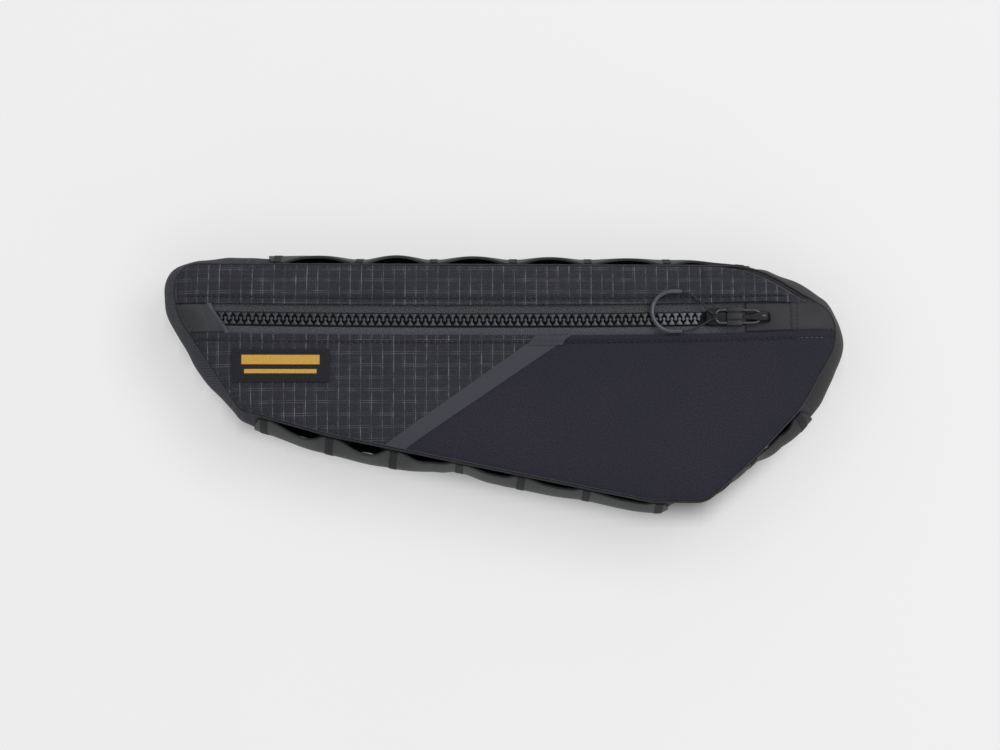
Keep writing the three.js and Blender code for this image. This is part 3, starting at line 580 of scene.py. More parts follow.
def tube(route, radius, sides, closed=False):
    """A round tube along points in mm; radius is one number or one for each point."""
    route = np.asarray(route, float)
    count = len(route) if closed else len(route) - 1
    ahead = np.roll(route, -1, 0) - np.roll(route, 1, 0)
    if not closed:
        ahead[0], ahead[-1] = route[1] - route[0], route[-1] - route[-2]
    ahead /= np.linalg.norm(ahead, axis=1)[:, None]
    side = np.cross(ahead[0], (0, 0, 1.0) if abs(ahead[0][2]) < .9 else (1.0, 0, 0))
    sides_of = []
    for direction in ahead:
        side = side - direction * (side @ direction)
        side /= np.linalg.norm(side)
        sides_of.append(side)
    sides_of = np.array(sides_of)
    up_of = np.cross(ahead, sides_of)
    radius = np.broadcast_to(radius, len(route))
    lengths = np.concatenate([[0], np.cumsum(np.linalg.norm(np.diff(route, axis=0), axis=1))])

    def mapping(u, v):
        at = np.rint(u * count).astype(int)
        ring = at % len(route)
        angle = v * 2 * np.pi
        out = np.cos(angle)[:, None] * sides_of[ring] + np.sin(angle)[:, None] * up_of[ring]
        along = lengths[np.minimum(at, len(lengths) - 1)]
        return route[ring] + out * radius[ring][:, None], np.stack([along, v * 6 * radius[ring]], -1)

    bm = grid(count, sides, mapping)
    bmesh.ops.remove_doubles(bm, verts=bm.verts, dist=1e-6)
    if not closed:
        bmesh.ops.holes_fill(bm, edges=[e for e in bm.edges if e.is_boundary])
    bmesh.ops.recalc_face_normals(bm, faces=bm.faces)
    return bm


def curve_through(points, steps, closed=False):
    """A smooth line through points, as many even steps along it."""
    points = np.asarray(points, float)
    count = len(points) if closed else len(points) - 1
    out = []
    for step in range(steps + (0 if closed else 1)):
        share = step / steps * count
        i = min(int(share), count - 1)
        t = share - i
        if closed:
            a, b, c, d = (points[(i + k) % count] for k in (-1, 0, 1, 2))
        else:
            b, c = points[i], points[i + 1]
            a = points[i - 1] if i else 2 * b - c
            d = points[i + 2] if i + 2 < len(points) else 2 * c - b
        out.append(.5 * (2 * b + (c - a) * t + (2 * a - 5 * b + 4 * c - d) * t * t
                         + (3 * b - a - 3 * c + d) * t ** 3))
    return np.array(out)


# %% [markdown]
# ## The pull: cord, grip and link
# A thin cord runs from the link through a bent rubber tube and back, and it is the only limp thing on the
# bag, so it comes first. It is one line of points: from the hitch on the link, along the upper strand,
# through the tube, and home along the lower strand.

# %% Places of the zip's hardware
ZIP_LEVEL, TAIL_RISE, NOSE_RISE = (.7575 - .5) * SEAM_HEIGHT, 1.9, 3.4
FOLD = 8.7
CLOTH, GAP = 1.4, .3


def zip_y(x, offset=0.0):
    share = np.asarray(x, float) / (SEAM_LENGTH / 2)
    return ZIP_LEVEL + np.where(share < 0, TAIL_RISE, NOSE_RISE) * np.abs(share) ** 2.5 + offset


PATCH_NOSE = (.8627 - .5) * SEAM_LENGTH
SLIDER_LENGTH, SLIDER_WIDTH = 22.7, 9.8
SLIDER_NOSE = PATCH_NOSE - .3
SLIDER_TOP, BRIDGE_REACH = 2, 5.6
LINK_LENGTH, LINK_WIRE = 25.4, 1.5
EYE = np.array([SLIDER_NOSE + BRIDGE_REACH + 1.3 + LINK_WIRE / 2 + .35, float(zip_y(SLIDER_NOSE)),
                DEPTH + SLIDER_TOP + GAP + LINK_WIRE / 2])
GRIP = np.array([EYE[0] - 49.9, EYE[1] + 3.1, DEPTH + 2.1])
GRIP_RADIUS, GRIP_TAIL = 11.5, 5.5
HITCH = np.array([EYE[0] - LINK_LENGTH - LINK_WIRE / 2 - .45, EYE[1], EYE[2]])
print("eye of the pull in mm:", EYE.round(2))

# %% Cord
STRAND = np.array([
    (0, 0, 0), (.23, .08, 0), (.43, .26, .05), (.62, .49, .5), (.78, .73, .9), (.92, .92, 1), (1, 1, 1),
])


def strand(side):
    start = GRIP + (GRIP_TAIL + .3, side * GRIP_RADIUS, 0)
    return start + STRAND * (HITCH + (0, side * 1.3, 0) - start)


def grip_line(steps):
    angles = np.linspace(math.pi / 2, 1.5 * math.pi, steps)
    bend = GRIP + GRIP_RADIUS * np.stack([np.cos(angles), np.sin(angles), 0 * angles], -1)
    ends = [GRIP + (GRIP_TAIL * s, GRIP_RADIUS, 0) for s in (1, .5)]
    return np.array(ends + list(bend) + [e - (0, 2 * GRIP_RADIUS, 0) for e in ends[::-1]])


CORD_WIDTH = 1.2
cord_points = np.concatenate([strand(1)[::-1], grip_line(13)[1:-1], strand(-1)])
cord_route = curve_through(cord_points, 160)
cord = piece(tube(cord_route, CORD_WIDTH / 2, 8), "cord_loop", "cord", "pull",
             ["pull_cord_upper", "pull_cord_lower"])

# %% [markdown]
# ## The grip
# A soft tube is pushed over the cord and bent, so that a gloved finger finds it. It could be a half ring from
# the torus operator, but a tube along the cord's own line keeps the cord in its middle.

# %% Grip
grip = piece(tube(curve_through(grip_line(13), 64), 1.3, 14), "grip_tube", "grip", "pull", ["pull_grip"],
             edge=.35, segments=3)

# %% [markdown]
# ## The link
# A bent wire joins the slider and the cord, with a moulded block across it and the cord hitched round its
# end. All three could be one sculpted lump. As a tube along a closed line, bevelled boxes and small rings
# they are made much as the real ones are, and keep the round edges that catch the light.

# %% Link with its block and hitch


def link_line():
    tail, half = EYE[0] - LINK_LENGTH, 4.4 - LINK_WIRE / 2
    upper = np.array([
        (EYE[0], 1.1), (EYE[0] - .9, 2.6), (EYE[0] - 3.2, half - .1), (EYE[0] - 8, half),
        (tail + 3.4, half), (tail + 1.1, half - .9), (tail, half - 2.6),
    ])
    loop = np.concatenate([upper, upper[::-1] * (1, -1)])
    return np.column_stack([loop[:, 0], loop[:, 1] + EYE[1], np.full(len(loop), EYE[2])])


link = piece(tube(curve_through(link_line(), 96, closed=True), LINK_WIRE / 2, 12, closed=True),
             "link_wire", "wire", "pull", ["pull_link"])


def box_of(low_corner, high_corner, bevel):
    """A box in mm between two corners, with rounded edges."""
    bm = bmesh.new()
    bmesh.ops.create_cube(bm, size=1)
    low_corner, high_corner = row(low_corner), row(high_corner)
    for vert in bm.verts:
        vert.co = [mix(a, b, c + .5) for a, b, c in zip(low_corner, high_corner, vert.co)]
    bmesh.ops.bevel(bm, geom=bm.edges, offset=bevel / 1000, affect="EDGES", segments=3, profile=.5,
                    material=-1)
    return bm


def join(parts):
    """Several bmeshes in one."""
    whole = bmesh.new()
    for part in parts:
        held = bpy.data.meshes.new("held")
        part.to_mesh(held)
        part.free()
        whole.from_mesh(held)
        bpy.data.meshes.remove(held)
    return whole


BLOCK_NOSE, BLOCK_LENGTH = EYE[0] - 10.1, 9
ribs = ((-5.4, -2.4), (-1.9, 1.9), (2.4, 5.4))
block = [box_of((BLOCK_NOSE - BLOCK_LENGTH, EYE[1] + low_side, EYE[2] - .6),
                (BLOCK_NOSE, EYE[1] + high_side, EYE[2] + 1.2), .45) for low_side, high_side in ribs]
block.append(box_of((BLOCK_NOSE - BLOCK_LENGTH + .4, EYE[1] - 5, EYE[2] - .5),
                    (BLOCK_NOSE - .4, EYE[1] + 5, EYE[2] + .6), .3))
piece(join(block), "link_block", "block", "pull")

RING = 1.35
hitch = []
for turn in range(3):
    angle = np.linspace(0, 2 * math.pi, 21)[:-1]
    beside = np.full(20, EYE[1] + (turn - 1) * 1.25)
    ring = np.stack([EYE[0] - LINK_LENGTH + RING * np.cos(angle), beside, EYE[2] + RING * np.sin(angle)], -1)
    hitch.append(tube(ring, CORD_WIDTH / 2, 8, closed=True))
piece(join(hitch), "cord_hitch", "cord", "pull")

# %% [markdown]
# ## The front
# The front is one flat side in six pieces: ripstop above and below the zip, a slanted band, a plain panel
# and a smooth patch over each end of the zip. Each is a patch between four edges, so that neighbours share
# a seam. The side sinks towards its outer seam, swells beside each row of stitches and has a few creases.

# %% Height of the front


def bump_at(x, y, cx, cy, rx, ry, turn=0.0):
    """1 at the middle of a small oval place, falling to 0 around it."""
    dx, dy = np.asarray(x) - cx, np.asarray(y) - cy
    c, s = math.cos(turn), math.sin(turn)
    return np.exp(-((dx * c + dy * s) / rx) ** 2 - ((dy * c - dx * s) / ry) ** 2)


EDGE_FALL, EDGE_REACH = 5, 24
CREASES = [  # rise, place, half widths and turn of each crease near the top seam
    (-1.5, 111.6, 60.5, 1.7, 5.5, -.25), (.9, 115, 60.5, 2.2, 5.5, -.25), (-1.2, 130.4, 62.7, 2.6, 2.4, 0),
]


def front_height(x, y):
    """The front sinks towards its seam, sags a little, and is drawn in and puckered beside the zip."""
    at, away = nearest(x, y)
    z = DEPTH - EDGE_FALL * np.maximum(0, 1 - away / EDGE_REACH) ** 3
    sag = np.sin(x / 31 + 1.3) * np.sin(y / 17 + .4) + .6 * np.sin(x / 13 + y / 9)
    z = z + .22 * sag * smooth(away, 3, 18)
    beside = np.abs(np.abs(y - zip_y(x)) - FOLD - 4)
    z = z - .7 * np.exp(-(beside / 1.2) ** 2) + .14 * np.sin(x * 1.9) * np.exp(-(beside / 1.8) ** 2)
    for rise, *spot in CREASES:
        z = z + rise * bump_at(x, y, *spot)
    z = z + .25 * np.sin(at * .55) * np.sin(at * .13) * smooth(away, 9, 2)
    return z


# %% [markdown]
# ## Panels that share a seam
# Neighbouring panels are sewn along one line. They could be cut out of one sheet, but then all would have its
# grid of threads. Here a panel is a patch between four edge lines, and two neighbours take the same line.

# %% Edges of a panel


def arc(start, end):
    span = stretch(start, end)
    return lambda share: on_outline(start + span * share)


def back_along(edge):
    return lambda share: edge(1 - share)


def line(a, b):
    a, b = np.asarray(a, float), np.asarray(b, float)
    return lambda share: mix(a, b, np.asarray(share)[..., None])


def along_zip(offset, a, b):
    def edge(share):
        share = np.asarray(share, float)
        x = mix(a[0], b[0], share)
        ends = mix(a[1] - zip_y(a[0], offset), b[1] - zip_y(b[0], offset), share)
        return np.stack([x, zip_y(x, offset) + ends], -1)
    return edge


def patch(bottom, top, left, right):
    """Places between four edges that meet at their ends."""
    def places(u, v):
        b, t, l, r = bottom(u), top(u), left(v), right(v)
        u, v = u[..., None], v[..., None]
        corners = mix(mix(bottom(0.0), bottom(1.0), u), mix(top(0.0), top(1.0), u), v)
        return mix(b, t, v) + mix(l, r, u) - corners
    return places


def crossing(axis, value, start, end):
    """Where the outline crosses a level or upright line."""
    spots = start + stretch(start, end) * np.linspace(0, 1, 4001)
    off = on_outline(spots)[:, axis] - value
    return float(spots[np.argmax(off[:-1] * off[1:] <= 0)])


UPPER_TAIL, UPPER_NOSE = seam_at((.02, .97)), seam_at((.95, .88))
LOWER_TAIL, LOWER_NOSE = seam_at((.1, .387)), seam_at((.803, 0))


def tail_at(offset):
    return crossing(1, ZIP_LEVEL + TAIL_RISE + offset, LOWER_TAIL, UPPER_TAIL)


def nose_at(offset):
    return crossing(1, ZIP_LEVEL + NOSE_RISE + offset, UPPER_NOSE, LOWER_NOSE)


# %% A panel of cloth


def panel(name, edges, finish, columns, rows, height, wall=CLOTH, nudge=None, instead=()):
    places = patch(**edges)

    def mapping(u, v):
        u, v = u - np.sin(2 * np.pi * u) * .04, v - np.sin(2 * np.pi * v) * .07
        xy = places(u, v)
        if nudge is not None:
            xy = nudge(xy)
        z = height(xy[:, 0], xy[:, 1])
        return np.column_stack([xy, z]), xy + SHIFT[:2]

    return piece(grid(columns, rows, mapping), name, finish, "bag", instead, wall, .5, 3)


def nose_fold(xy):
    """Near the nose the upper panel ends in a fold that stands back from the seam."""
    at, away = nearest(*xy.T)
    share = smooth(xy[:, 0], 116, 152) * smooth(-xy[:, 0], -186, -170)
    return xy - outward(at) * (2.8 * share * np.clip(1 - away / 16, 0, 1) ** 1.5)[:, None]


# %% Panel above the zip
tail, nose = tail_at(FOLD), nose_at(FOLD)
panel("upper_panel", {
    "bottom": along_zip(FOLD, on_outline(tail), on_outline(nose)),
    "top": arc(UPPER_TAIL, UPPER_NOSE),
    "left": arc(tail, UPPER_TAIL),
    "right": back_along(arc(UPPER_NOSE, nose)),
}, "ripstop", 260, 40, front_height, nudge=nose_fold, instead=["front_panel_upper"])


# %% Panels below the zip


def band_seam(head, foot, offset):
    low_end = crossing(0, (foot - .5) * SEAM_LENGTH + offset, LOWER_NOSE, LOWER_TAIL)
    x = (head - .5) * SEAM_LENGTH
    return low_end, line(on_outline(low_end), (x + offset, float(zip_y(x, -FOLD))))


tail = tail_at(-FOLD)
foot, seam = band_seam(.552, .3185, -.1)
panel("lower_panel", {
    "bottom": back_along(arc(foot, LOWER_TAIL)),
    "top": along_zip(-FOLD, on_outline(tail), seam(1.0)),
    "left": arc(LOWER_TAIL, tail),
    "right": seam,
}, "ripstop", 150, 70, front_height, instead=["front_panel_lower"])

nose = nose_at(-FOLD)
foot, seam = band_seam(.6, .348, .1)
panel("plain_panel", {
    "bottom": back_along(arc(LOWER_NOSE, foot)),
    "top": along_zip(-FOLD, seam(1.0), on_outline(nose)),
    "left": seam,
    "right": back_along(arc(nose, LOWER_NOSE)),
}, "plain_weave", 160, 90, front_height, instead=["front_panel_plain"])

# %% Slanted band
left, right = band_seam(.552, .3185, -.6)[1], band_seam(.6, .348, .1)[1]


def band_height(x, y):
    return front_height(x, y) + .45


panel("slanted_band", {
    "bottom": line(left(0.0), right(0.0)), "top": line(left(1.0), right(1.0)), "left": left, "right": right,
}, "band", 16, 90, band_height, instead=["accent_band"])

# %% [markdown]
# ## Patches over the zip's ends
# A smooth coated patch hides each end of the zip and takes the wear there. It could be a flat piece laid on
# top, but it is sewn into the same seams as the panels, so it is a patch between four edges as they are.

# %% Patches over the zip's ends
ZIP_SLANT = .447


def slanted_x(offset):
    return (.065 - .5) * SEAM_LENGTH - ZIP_SLANT * offset


def patch_height(x, y):
    z = front_height(x, y) - .4 * np.minimum(1, nearest(x, y)[1] / 2.8)
    z = z + .5 * smooth(x, 162.3, 162.9) - .5 * np.exp(-((x - 162.2) / .4) ** 2)
    return z - .35 * np.exp(-((x + 170.5 + .35 * (y - ZIP_LEVEL)) / .6) ** 2)


def patch_cloth(x, y):
    """The patch dips below the panels' folds."""
    return patch_height(x, y) - smooth(np.abs(y - zip_y(x)), 7.6, 8.6)


inset = FOLD + 1.2
low_at, high_at = tail_at(-inset), tail_at(inset)
ends = [(slanted_x(o), float(zip_y(slanted_x(o), o))) for o in (-inset, inset)]
panel("zip_patch_left", {
    "bottom": line(on_outline(low_at), ends[0]), "top": line(on_outline(high_at), ends[1]),
    "left": arc(low_at, high_at), "right": line(*ends),
}, "coated", 24, 24, patch_cloth, wall=.5, instead=["garage_left"])

low_at, high_at = nose_at(-inset), nose_at(inset)
ends = [(PATCH_NOSE, float(zip_y(PATCH_NOSE, o))) for o in (-inset, inset)]
panel("zip_patch_right", {
    "bottom": along_zip(-inset, ends[0], on_outline(low_at)),
    "top": along_zip(inset, ends[1], on_outline(high_at)),
    "left": line(*ends), "right": back_along(arc(high_at, low_at)),
}, "nose", 60, 24, patch_cloth, wall=.5, instead=["garage_right"])

# %% [markdown]
# ## A rim and a tab
# The left patch ends in a rounded fold, and the band ends in a loose tab below the zip. Both could be painted
# as lighter lines. As small sheets of their own they throw the thin shadows that make them read as cloth; the
# fold is also painted lighter than the patch, a painted highlight.

# %% Rim of the left patch and the tab of the band
RIM_STEPS, RIM_WIDTH = 40, 3.4
rim_line = [(slanted_x(o) + dx, float(zip_y(slanted_x(o), o))) for o, dx in
            ((-8.6, 1.6), (-6, 1.5), (-3, .9), (0, .1), (3, -1.0), (6, -1.6), (8.6, -1.2))]
rim_route = curve_through([(x, y, DEPTH - .4) for x, y in rim_line], RIM_STEPS)


def rim_mapping(u, v):
    at = np.rint(u * RIM_STEPS).astype(int)
    across = (v - .5) * RIM_WIDTH
    lift = np.cos(across / (RIM_WIDTH / 2) * 1.35)
    return rim_route[at] + np.column_stack([across, 0 * v, lift - .5]), np.column_stack([across, u * 18])


piece(grid(RIM_STEPS, 8, rim_mapping, turned=True), "patch_rim", "rim", wall=.4)


def tab_mapping(u, v):
    x = mix(14.5, 33.8, u) + 3.4 * (v - .5)
    y = zip_y(x, -FOLD) - mix(5.9, .3, v)
    curl = 1.3 * np.sin(np.pi * v) ** 2 * bump_at(x, y, 28.5, 22.6, 4.5, 5)
    z = front_height(x, y) + 1.0 + .35 * np.sin(u * 9) * v + curl
    return np.column_stack([x, y, z]), np.column_stack([x, y])


piece(grid(40, 16, tab_mapping), "band_tab", "band", wall=.7, edge=.25)

# %% [markdown]
# ## The side wall
# A strip of cloth runs round the bag between its two seams and bulges outwards, more at the ends than along
# the top. It is drawn by walking along the outline and stepping outwards by a sine across the wall's width.

# %% Bulge of the wall
BULGE, INSET = 10.5, 8
WALL_ROWS = [  # place along and up the seam, share of the bulge, share of the inset at the foot
    (0, .86, .76, 0), (0, .96, .84, 0), (.024, 1, .6, 0), (.08, 1, .78, 0), (.152, 1, .74, 0),
    (.277, 1, .55, 0), (.745, 1, .6, 0), (.856, 1, .3, 0), (.9, .96, .62, 0), (.947, .9, .9, 0),
    (.975, .84, .78, 0), (.996, .78, .55, 0), (1, .68, .72, 0), (.96, .48, .88, 0), (.934, .38, .74, 0),
    (.873, .175, .16, .3), (.832, .07, .08, .4), (.8, 0, .03, .85), (.765, 0, .05, .75), (.731, 0, .38, .3),
    (.623, .06, .42, .3), (.525, .12, .54, .3), (.431, .17, .31, .3), (.333, .23, .82, .3),
    (.236, .28, .78, .3), (.137, .36, .57, .2), (.1, .39, .35, 0), (.05, .6, .75, 0), (.02, .75, .62, 0),
]
rows_at = sorted((seam_at(r[:2]), r[2] * BULGE, r[3] * INSET) for r in WALL_ROWS)


def wall_row(distance):
    along = distance % AROUND
    after = next((i for i, r in enumerate(rows_at) if r[0] > along), 0)
    last, following = rows_at[after - 1], rows_at[after]
    share = (1 - math.cos(math.pi * stretch(last[0], along) / stretch(last[0], following[0]))) / 2
    return mix(last[1], following[1], share), mix(last[2], following[2], share)


# %% [markdown]
# ## Where the strips are tacked
# Three wide strips are sewn on the wall at intervals, and between two tacks each stands off as a loop. The
# strips could be modelled alone and the wall left whole, but the wall gives way below each loop, so one table
# tells both where the tacks are, how far the wall stands out there and how far the strip stands off it.

# %% Tacks and loops of the strips
TACK, STRIP_END = 8, 6
CHAINS = {
    "top": ([(.152, 1), (.277, 1), (.39, 1), (.511, 1), (.625, 1), (.745, 1), (.856, 1)],
            [(1.8, 5.8), (2, 6), (1.8, 5.8), (1.5, 5.8), (.9, 5.7), (-1.5, 5.6)]),
    "front": ([(.934, .38), (.873, .175), (.832, .07)], [(-2.3, 8.2), (.4, 1.2)]),
    "bottom": ([(.731, 0), (.623, .06), (.525, .12), (.431, .17), (.333, .23), (.236, .28), (.137, .36)],
               [(-3.4, 7.8), (-2.5, 7.5), (-1.7, 7.2), (-1.7, 7.2), (0, 6.8), (0, 6.9)]),
}
SEAM_TAIL, SEAM_TOP, SEAM_NOSE = seam_at((-.003, .885)), seam_at((.873, .99)), seam_at((.946, .43))
chains = {}
for name, (tacks, loops) in CHAINS.items():
    places_of = [seam_at(t) for t in tacks]
    room = stretch(places_of[-1], SEAM_TOP) - GAP
    skew = 1.3 if name == "bottom" else 1
    chains[name] = (places_of, loops, places_of[0] - STRIP_END, places_of[-1] + min(STRIP_END, room), skew)


def loop_at(chain, distance):
    """How full the loop is here, the wall's bulge below it and the way through it."""
    places_of, loops, skew = chain[0], chain[1], chain[4]
    for i, (rest, gap) in enumerate(loops):
        span = stretch(places_of[i], places_of[i + 1]) - TACK
        past = stretch(places_of[i] + TACK / 2, distance)
        if past < span:
            return math.sin(math.pi * (1 - (1 - past / span) ** skew)) ** .8, rest, gap
    return 0.0, 0.0, 0.0


def loop_over(distance):
    """The same for whichever strip lies over this place."""
    for chain in chains.values():
        if stretch(chain[2], distance) <= chain[3] - chain[2]:
            return loop_at(chain, distance)
    return 0.0, 0.0, 0.0


# %% Side wall


def wall_offset(distances, at, share):
    """How far the wall stands out at these distances; it is hollow below a loop, but not at its foot."""
    own, lean = np.array([wall_row(d) for d in distances]).T
    full, rest, _ = np.array([loop_over(d) for d in distances]).T
    hollow = full[at] * smooth(share, .08, .45)
    out = mix(own[at], rest[at], hollow) * np.sin(np.pi * np.clip(share, 0, 1))
    return out - lean[at] * (1 - share) - 2.8 * hollow * smooth(share, 1.03, .93)


WALL_LOW, WALL_HIGH = 6.7, 51.3


def wall_point(distance, share, offset):
    xy = on_outline(distance) + outward(distance) * np.asarray(offset)[..., None]
    return np.column_stack([xy, mix(WALL_LOW, WALL_HIGH, share)])


def side_wall(name, start, end, finish, columns, instead):
    spots = np.linspace(start, end, columns + 1)

    def mapping(u, v):
        at = np.rint(u * columns).astype(int)
        share = mix(-.015, 1.035, v)
        fold = np.sin(np.pi * np.clip(share, 0, 1))
        offset = wall_offset(spots, at, share)
        crease = .14 * np.sin(spots[at] * .13 + 2.2 * v) + .1 * np.sin(spots[at] * .41 - 3.1 * v)
        offset = offset + crease * fold - 1.7 * smooth(share, .955, 1.0) - .8 * smooth(share, .02, -.015)
        return wall_point(spots[at], share, offset), np.stack([spots[at], share * 55 + offset], -1)

    return piece(grid(columns, 28, mapping, turned=True), name, finish, "bag", instead, 1.2)


print("wall seams at:", round(SEAM_TAIL), round(SEAM_TOP), round(SEAM_NOSE), "of", round(AROUND))
over_top, under = stretch(SEAM_TAIL, SEAM_TOP), stretch(SEAM_NOSE, SEAM_TAIL)
side_wall("wall_top", SEAM_TAIL, SEAM_TAIL + over_top, "wall_ripstop", 230, ["gusset_top"])
side_wall("wall_nose", SEAM_TOP, SEAM_NOSE, "wall_nose", 90, ["gusset_nose"])
side_wall("wall_bottom", SEAM_NOSE, SEAM_NOSE + under, "wall_ripstop", 260, ["gusset_bottom"])

# %% [markdown]
# ## The lashing strips
# The strips are stiff coated cloth. Cloth simulation could bend them, but their form is set by their tacks,
# so each is a grid that lies on the wall at a tack and rises between two, with its upper edge drooping.

# %% Lashing strips


def lashing_strip(name, drop, finish="strip"):
    chain, columns, rows = chains[name], 240, 14
    spots = np.linspace(chain[2], chain[3], columns + 1)
    full, rest, gap = np.array([loop_at(chain, d) for d in spots]).T
    own, leans = np.array([wall_row(d) for d in spots]).T
    crest = np.maximum(rest + gap, own + .5)

    def mapping(u, v):
        at = np.rint(u * columns).astype(int)
        from_end = np.minimum(spots[at] - chain[2], chain[3] - spots[at])
        width = (.95 - .18 * full[at]) * np.sqrt(1 - np.clip(1 - from_end / 5, 0, .98) ** 2)
        share = .5 + width * (v - .5)
        laid = own[at] * np.sin(np.pi * share)
        raised = crest[at] - drop * np.clip(2 * v - 1, 0, 1) ** 1.8
        off_wall = full[at] ** (1 + .7 * v) * smooth(v, 0, .5)
        offset = mix(laid, raised, off_wall) - leans[at] * (1 - share) + CLOTH + GAP
        return wall_point(spots[at], share, offset), np.stack([spots[at], share * 50], -1)

    return piece(grid(columns, rows, mapping, turned=True), name + "_strip", finish, "bag",
                 ["strap_chain_" + name], CLOTH, .4)


lashing_strip("top", 2.6)
# The front strip wears the darker wall_nose finish, painted shade.
lashing_strip("front", 4.6, "wall_nose")
lashing_strip("bottom", 3.3)

# %% [markdown]
# ## Bartacks
# A close zigzag of thread holds the strip at each tack. Its thread could be modelled stitch by stitch, but at
# this size only its band shows, so each is a thin sheet with rows of thread in its finish.

# %% Bartacks across the strips
TACK_WIDTH, TACK_LIFT = 4.3, 1.95


def tack_bands(name):
    chain, parts = chains[name], []
    for spot in chain[0]:
        def mapping(u, v):
            d, share = spot + (u - .5) * TACK_WIDTH, mix(.02, .98, v)
            offset = wall_offset(d, np.arange(len(d)), share) + TACK_LIFT
            return wall_point(d, share, offset), np.column_stack([d, share * 50])

        parts.append(grid(6, 30, mapping, turned=True))
    piece(join(parts), name + "_tacks", "tack", wall=.3)


for name in CHAINS:
    tack_bands(name)

# %% [markdown]
# ## The sewn edge
# Front and wall meet in a turned seam whose groove reads as a thin dark line, with a paler folded edge in
# places.
# A bevel on the panels would only round them, so thin tubes run along the outline instead: a near-black one
# in the seam is painted shade, and the paler ones along the folded edges are painted highlights.

# %% Sewn edge of the front
around = np.linspace(0, AROUND, 461)[:-1]
edge_xy = on_outline(around)
edge_z = front_height(*edge_xy.T)
# Painted shade: a near-black tube lies in the seam's groove, where shade falls.
seam_shade_route = np.column_stack([edge_xy + outward(around) * .5, edge_z - .9])
piece(tube(seam_shade_route, .75, 8, closed=True), "seam_shade_tube", "thread")


def edge_tube(name, start, end, inset, radius, finish):
    steps = 90
    spots = start + stretch(start, end) * np.linspace(0, 1, steps)
    xy = nose_fold(on_outline(spots)) - outward(spots) * inset
    radii = radius * np.sin(np.pi * np.linspace(.04, .96, steps)) ** .4
    piece(tube(np.column_stack([xy, front_height(*xy.T) + .05]), radii, 8), name, finish)


# Painted highlights: these tubes are paler than the cloth beside them, on the fold near the nose and along
# the lower edge.
edge_tube("fold_edge", seam_at((.86, .99)), nose_at(FOLD), .3, .36, "rim")
edge_tube("lower_edge", seam_at((.74, 0)), seam_at((.12, .37)), .3, .3, "band")

# %% [markdown]
# ## The back
# The side that the bag lies on is plain cloth, rolled up towards the seam all round. A flat face would do
# for the camera, but from a low angle the roll shows, so this is a patch that rises near its rim.

# %% Back cloth
BACK_RISE, BACK_REACH, EDGE_STEPS = 5, 17, 241


def rim_point(distance):
    distance = np.atleast_1d(distance)
    lean = np.array([wall_row(d)[1] for d in distance])
    return on_outline(distance) - outward(distance) * lean[:, None]


def back_cloth():
    spots = [LOWER_TAIL, UPPER_TAIL, UPPER_NOSE, LOWER_NOSE]
    sides_of = []
    for i in range(4):
        span = stretch(spots[i], spots[(i + 1) % 4])
        sides_of.append(rim_point(spots[i] + span * np.linspace(0, 1, EDGE_STEPS)))

    def edge(points):
        steps = np.linspace(0, 1, EDGE_STEPS)
        return lambda share: np.stack([np.interp(share, steps, points[:, k]) for k in (0, 1)], -1)

    left_edge, top_edge, right_edge, low_edge = [edge(p) for p in sides_of]
    places = patch(back_along(low_edge), top_edge, left_edge, back_along(right_edge))

    def mapping(u, v):
        u, v = 1 - u, v
        u, v = u - np.sin(2 * np.pi * u) * .1, v - np.sin(2 * np.pi * v) * .1
        xy = places(u, v)
        at, away = nearest(xy[:, 0], xy[:, 1])
        lean = np.array([wall_row(d)[1] for d in at])
        z = BACK_RISE * np.maximum(0, 1 - np.maximum(0, away - lean) / BACK_REACH) ** 2
        return np.column_stack([xy, z]), xy + SHIFT[:2]

    return piece(grid(150, 60, mapping), "back_cloth", "plain_weave", "bag", ["back_panel"], CLOTH, .5, 3)


back_cloth()

# %% [markdown]
# ## The tapes
# Two woven tapes lie below the panels' folds. Flat strips would look the same from above, but each tape has a
# cord at its teeth and sinks towards its far edge, so each is a grid with a low ridge.

# %% Tapes
TAPE_DROP = .4 + CLOTH + GAP


def zip_tape(side, name):
    near, far = side * .15, side * (FOLD + 3)
    start, end = slanted_x(0) - 4, PATCH_NOSE + 4

    def mapping(u, v):
        offset = mix(near, far, v)
        x = mix(start - ZIP_SLANT * offset, end, u)
        ridge = .5 * bump_at(np.abs(offset), 0 * x, 4.6, 0, .7, 1)
        z = DEPTH - TAPE_DROP + ridge - .25 * smooth(np.abs(offset), 7, 10)
        return np.column_stack([x, zip_y(x, offset), z]), np.column_stack([x, offset])

    return piece(grid(150, 14, mapping, turned=side < 0), "tape_" + name, "tape", "bag",
                 ["zip_tape_" + name], .8)


zip_tape(1, "upper")
zip_tape(-1, "lower")

# %% [markdown]
# ## The teeth
# Each tape carries a row of moulded teeth that lock with the other row. Two boxes a tooth would be lighter,
# but the waist and the round head are what the eye knows, so half an outline is mirrored, drawn out
# upwards, bevelled and repeated along the tape.

# %% Teeth
PITCH, TOOTH_HEIGHT, TOOTH_WIDTH = 4.39, 2.0, 2.9
HALF_TOOTH = [
    (1.62, 3.35), (1.62, 2.7), (1.2, 1.95), (.68, 1.35), (.55, .9), (.68, .5), (.88, 0), (.8, -.6),
    (.45, -1.0),
]


def upper_verts(extruded):
    return [g for g in extruded["geom"] if isinstance(g, bmesh.types.BMVert)]


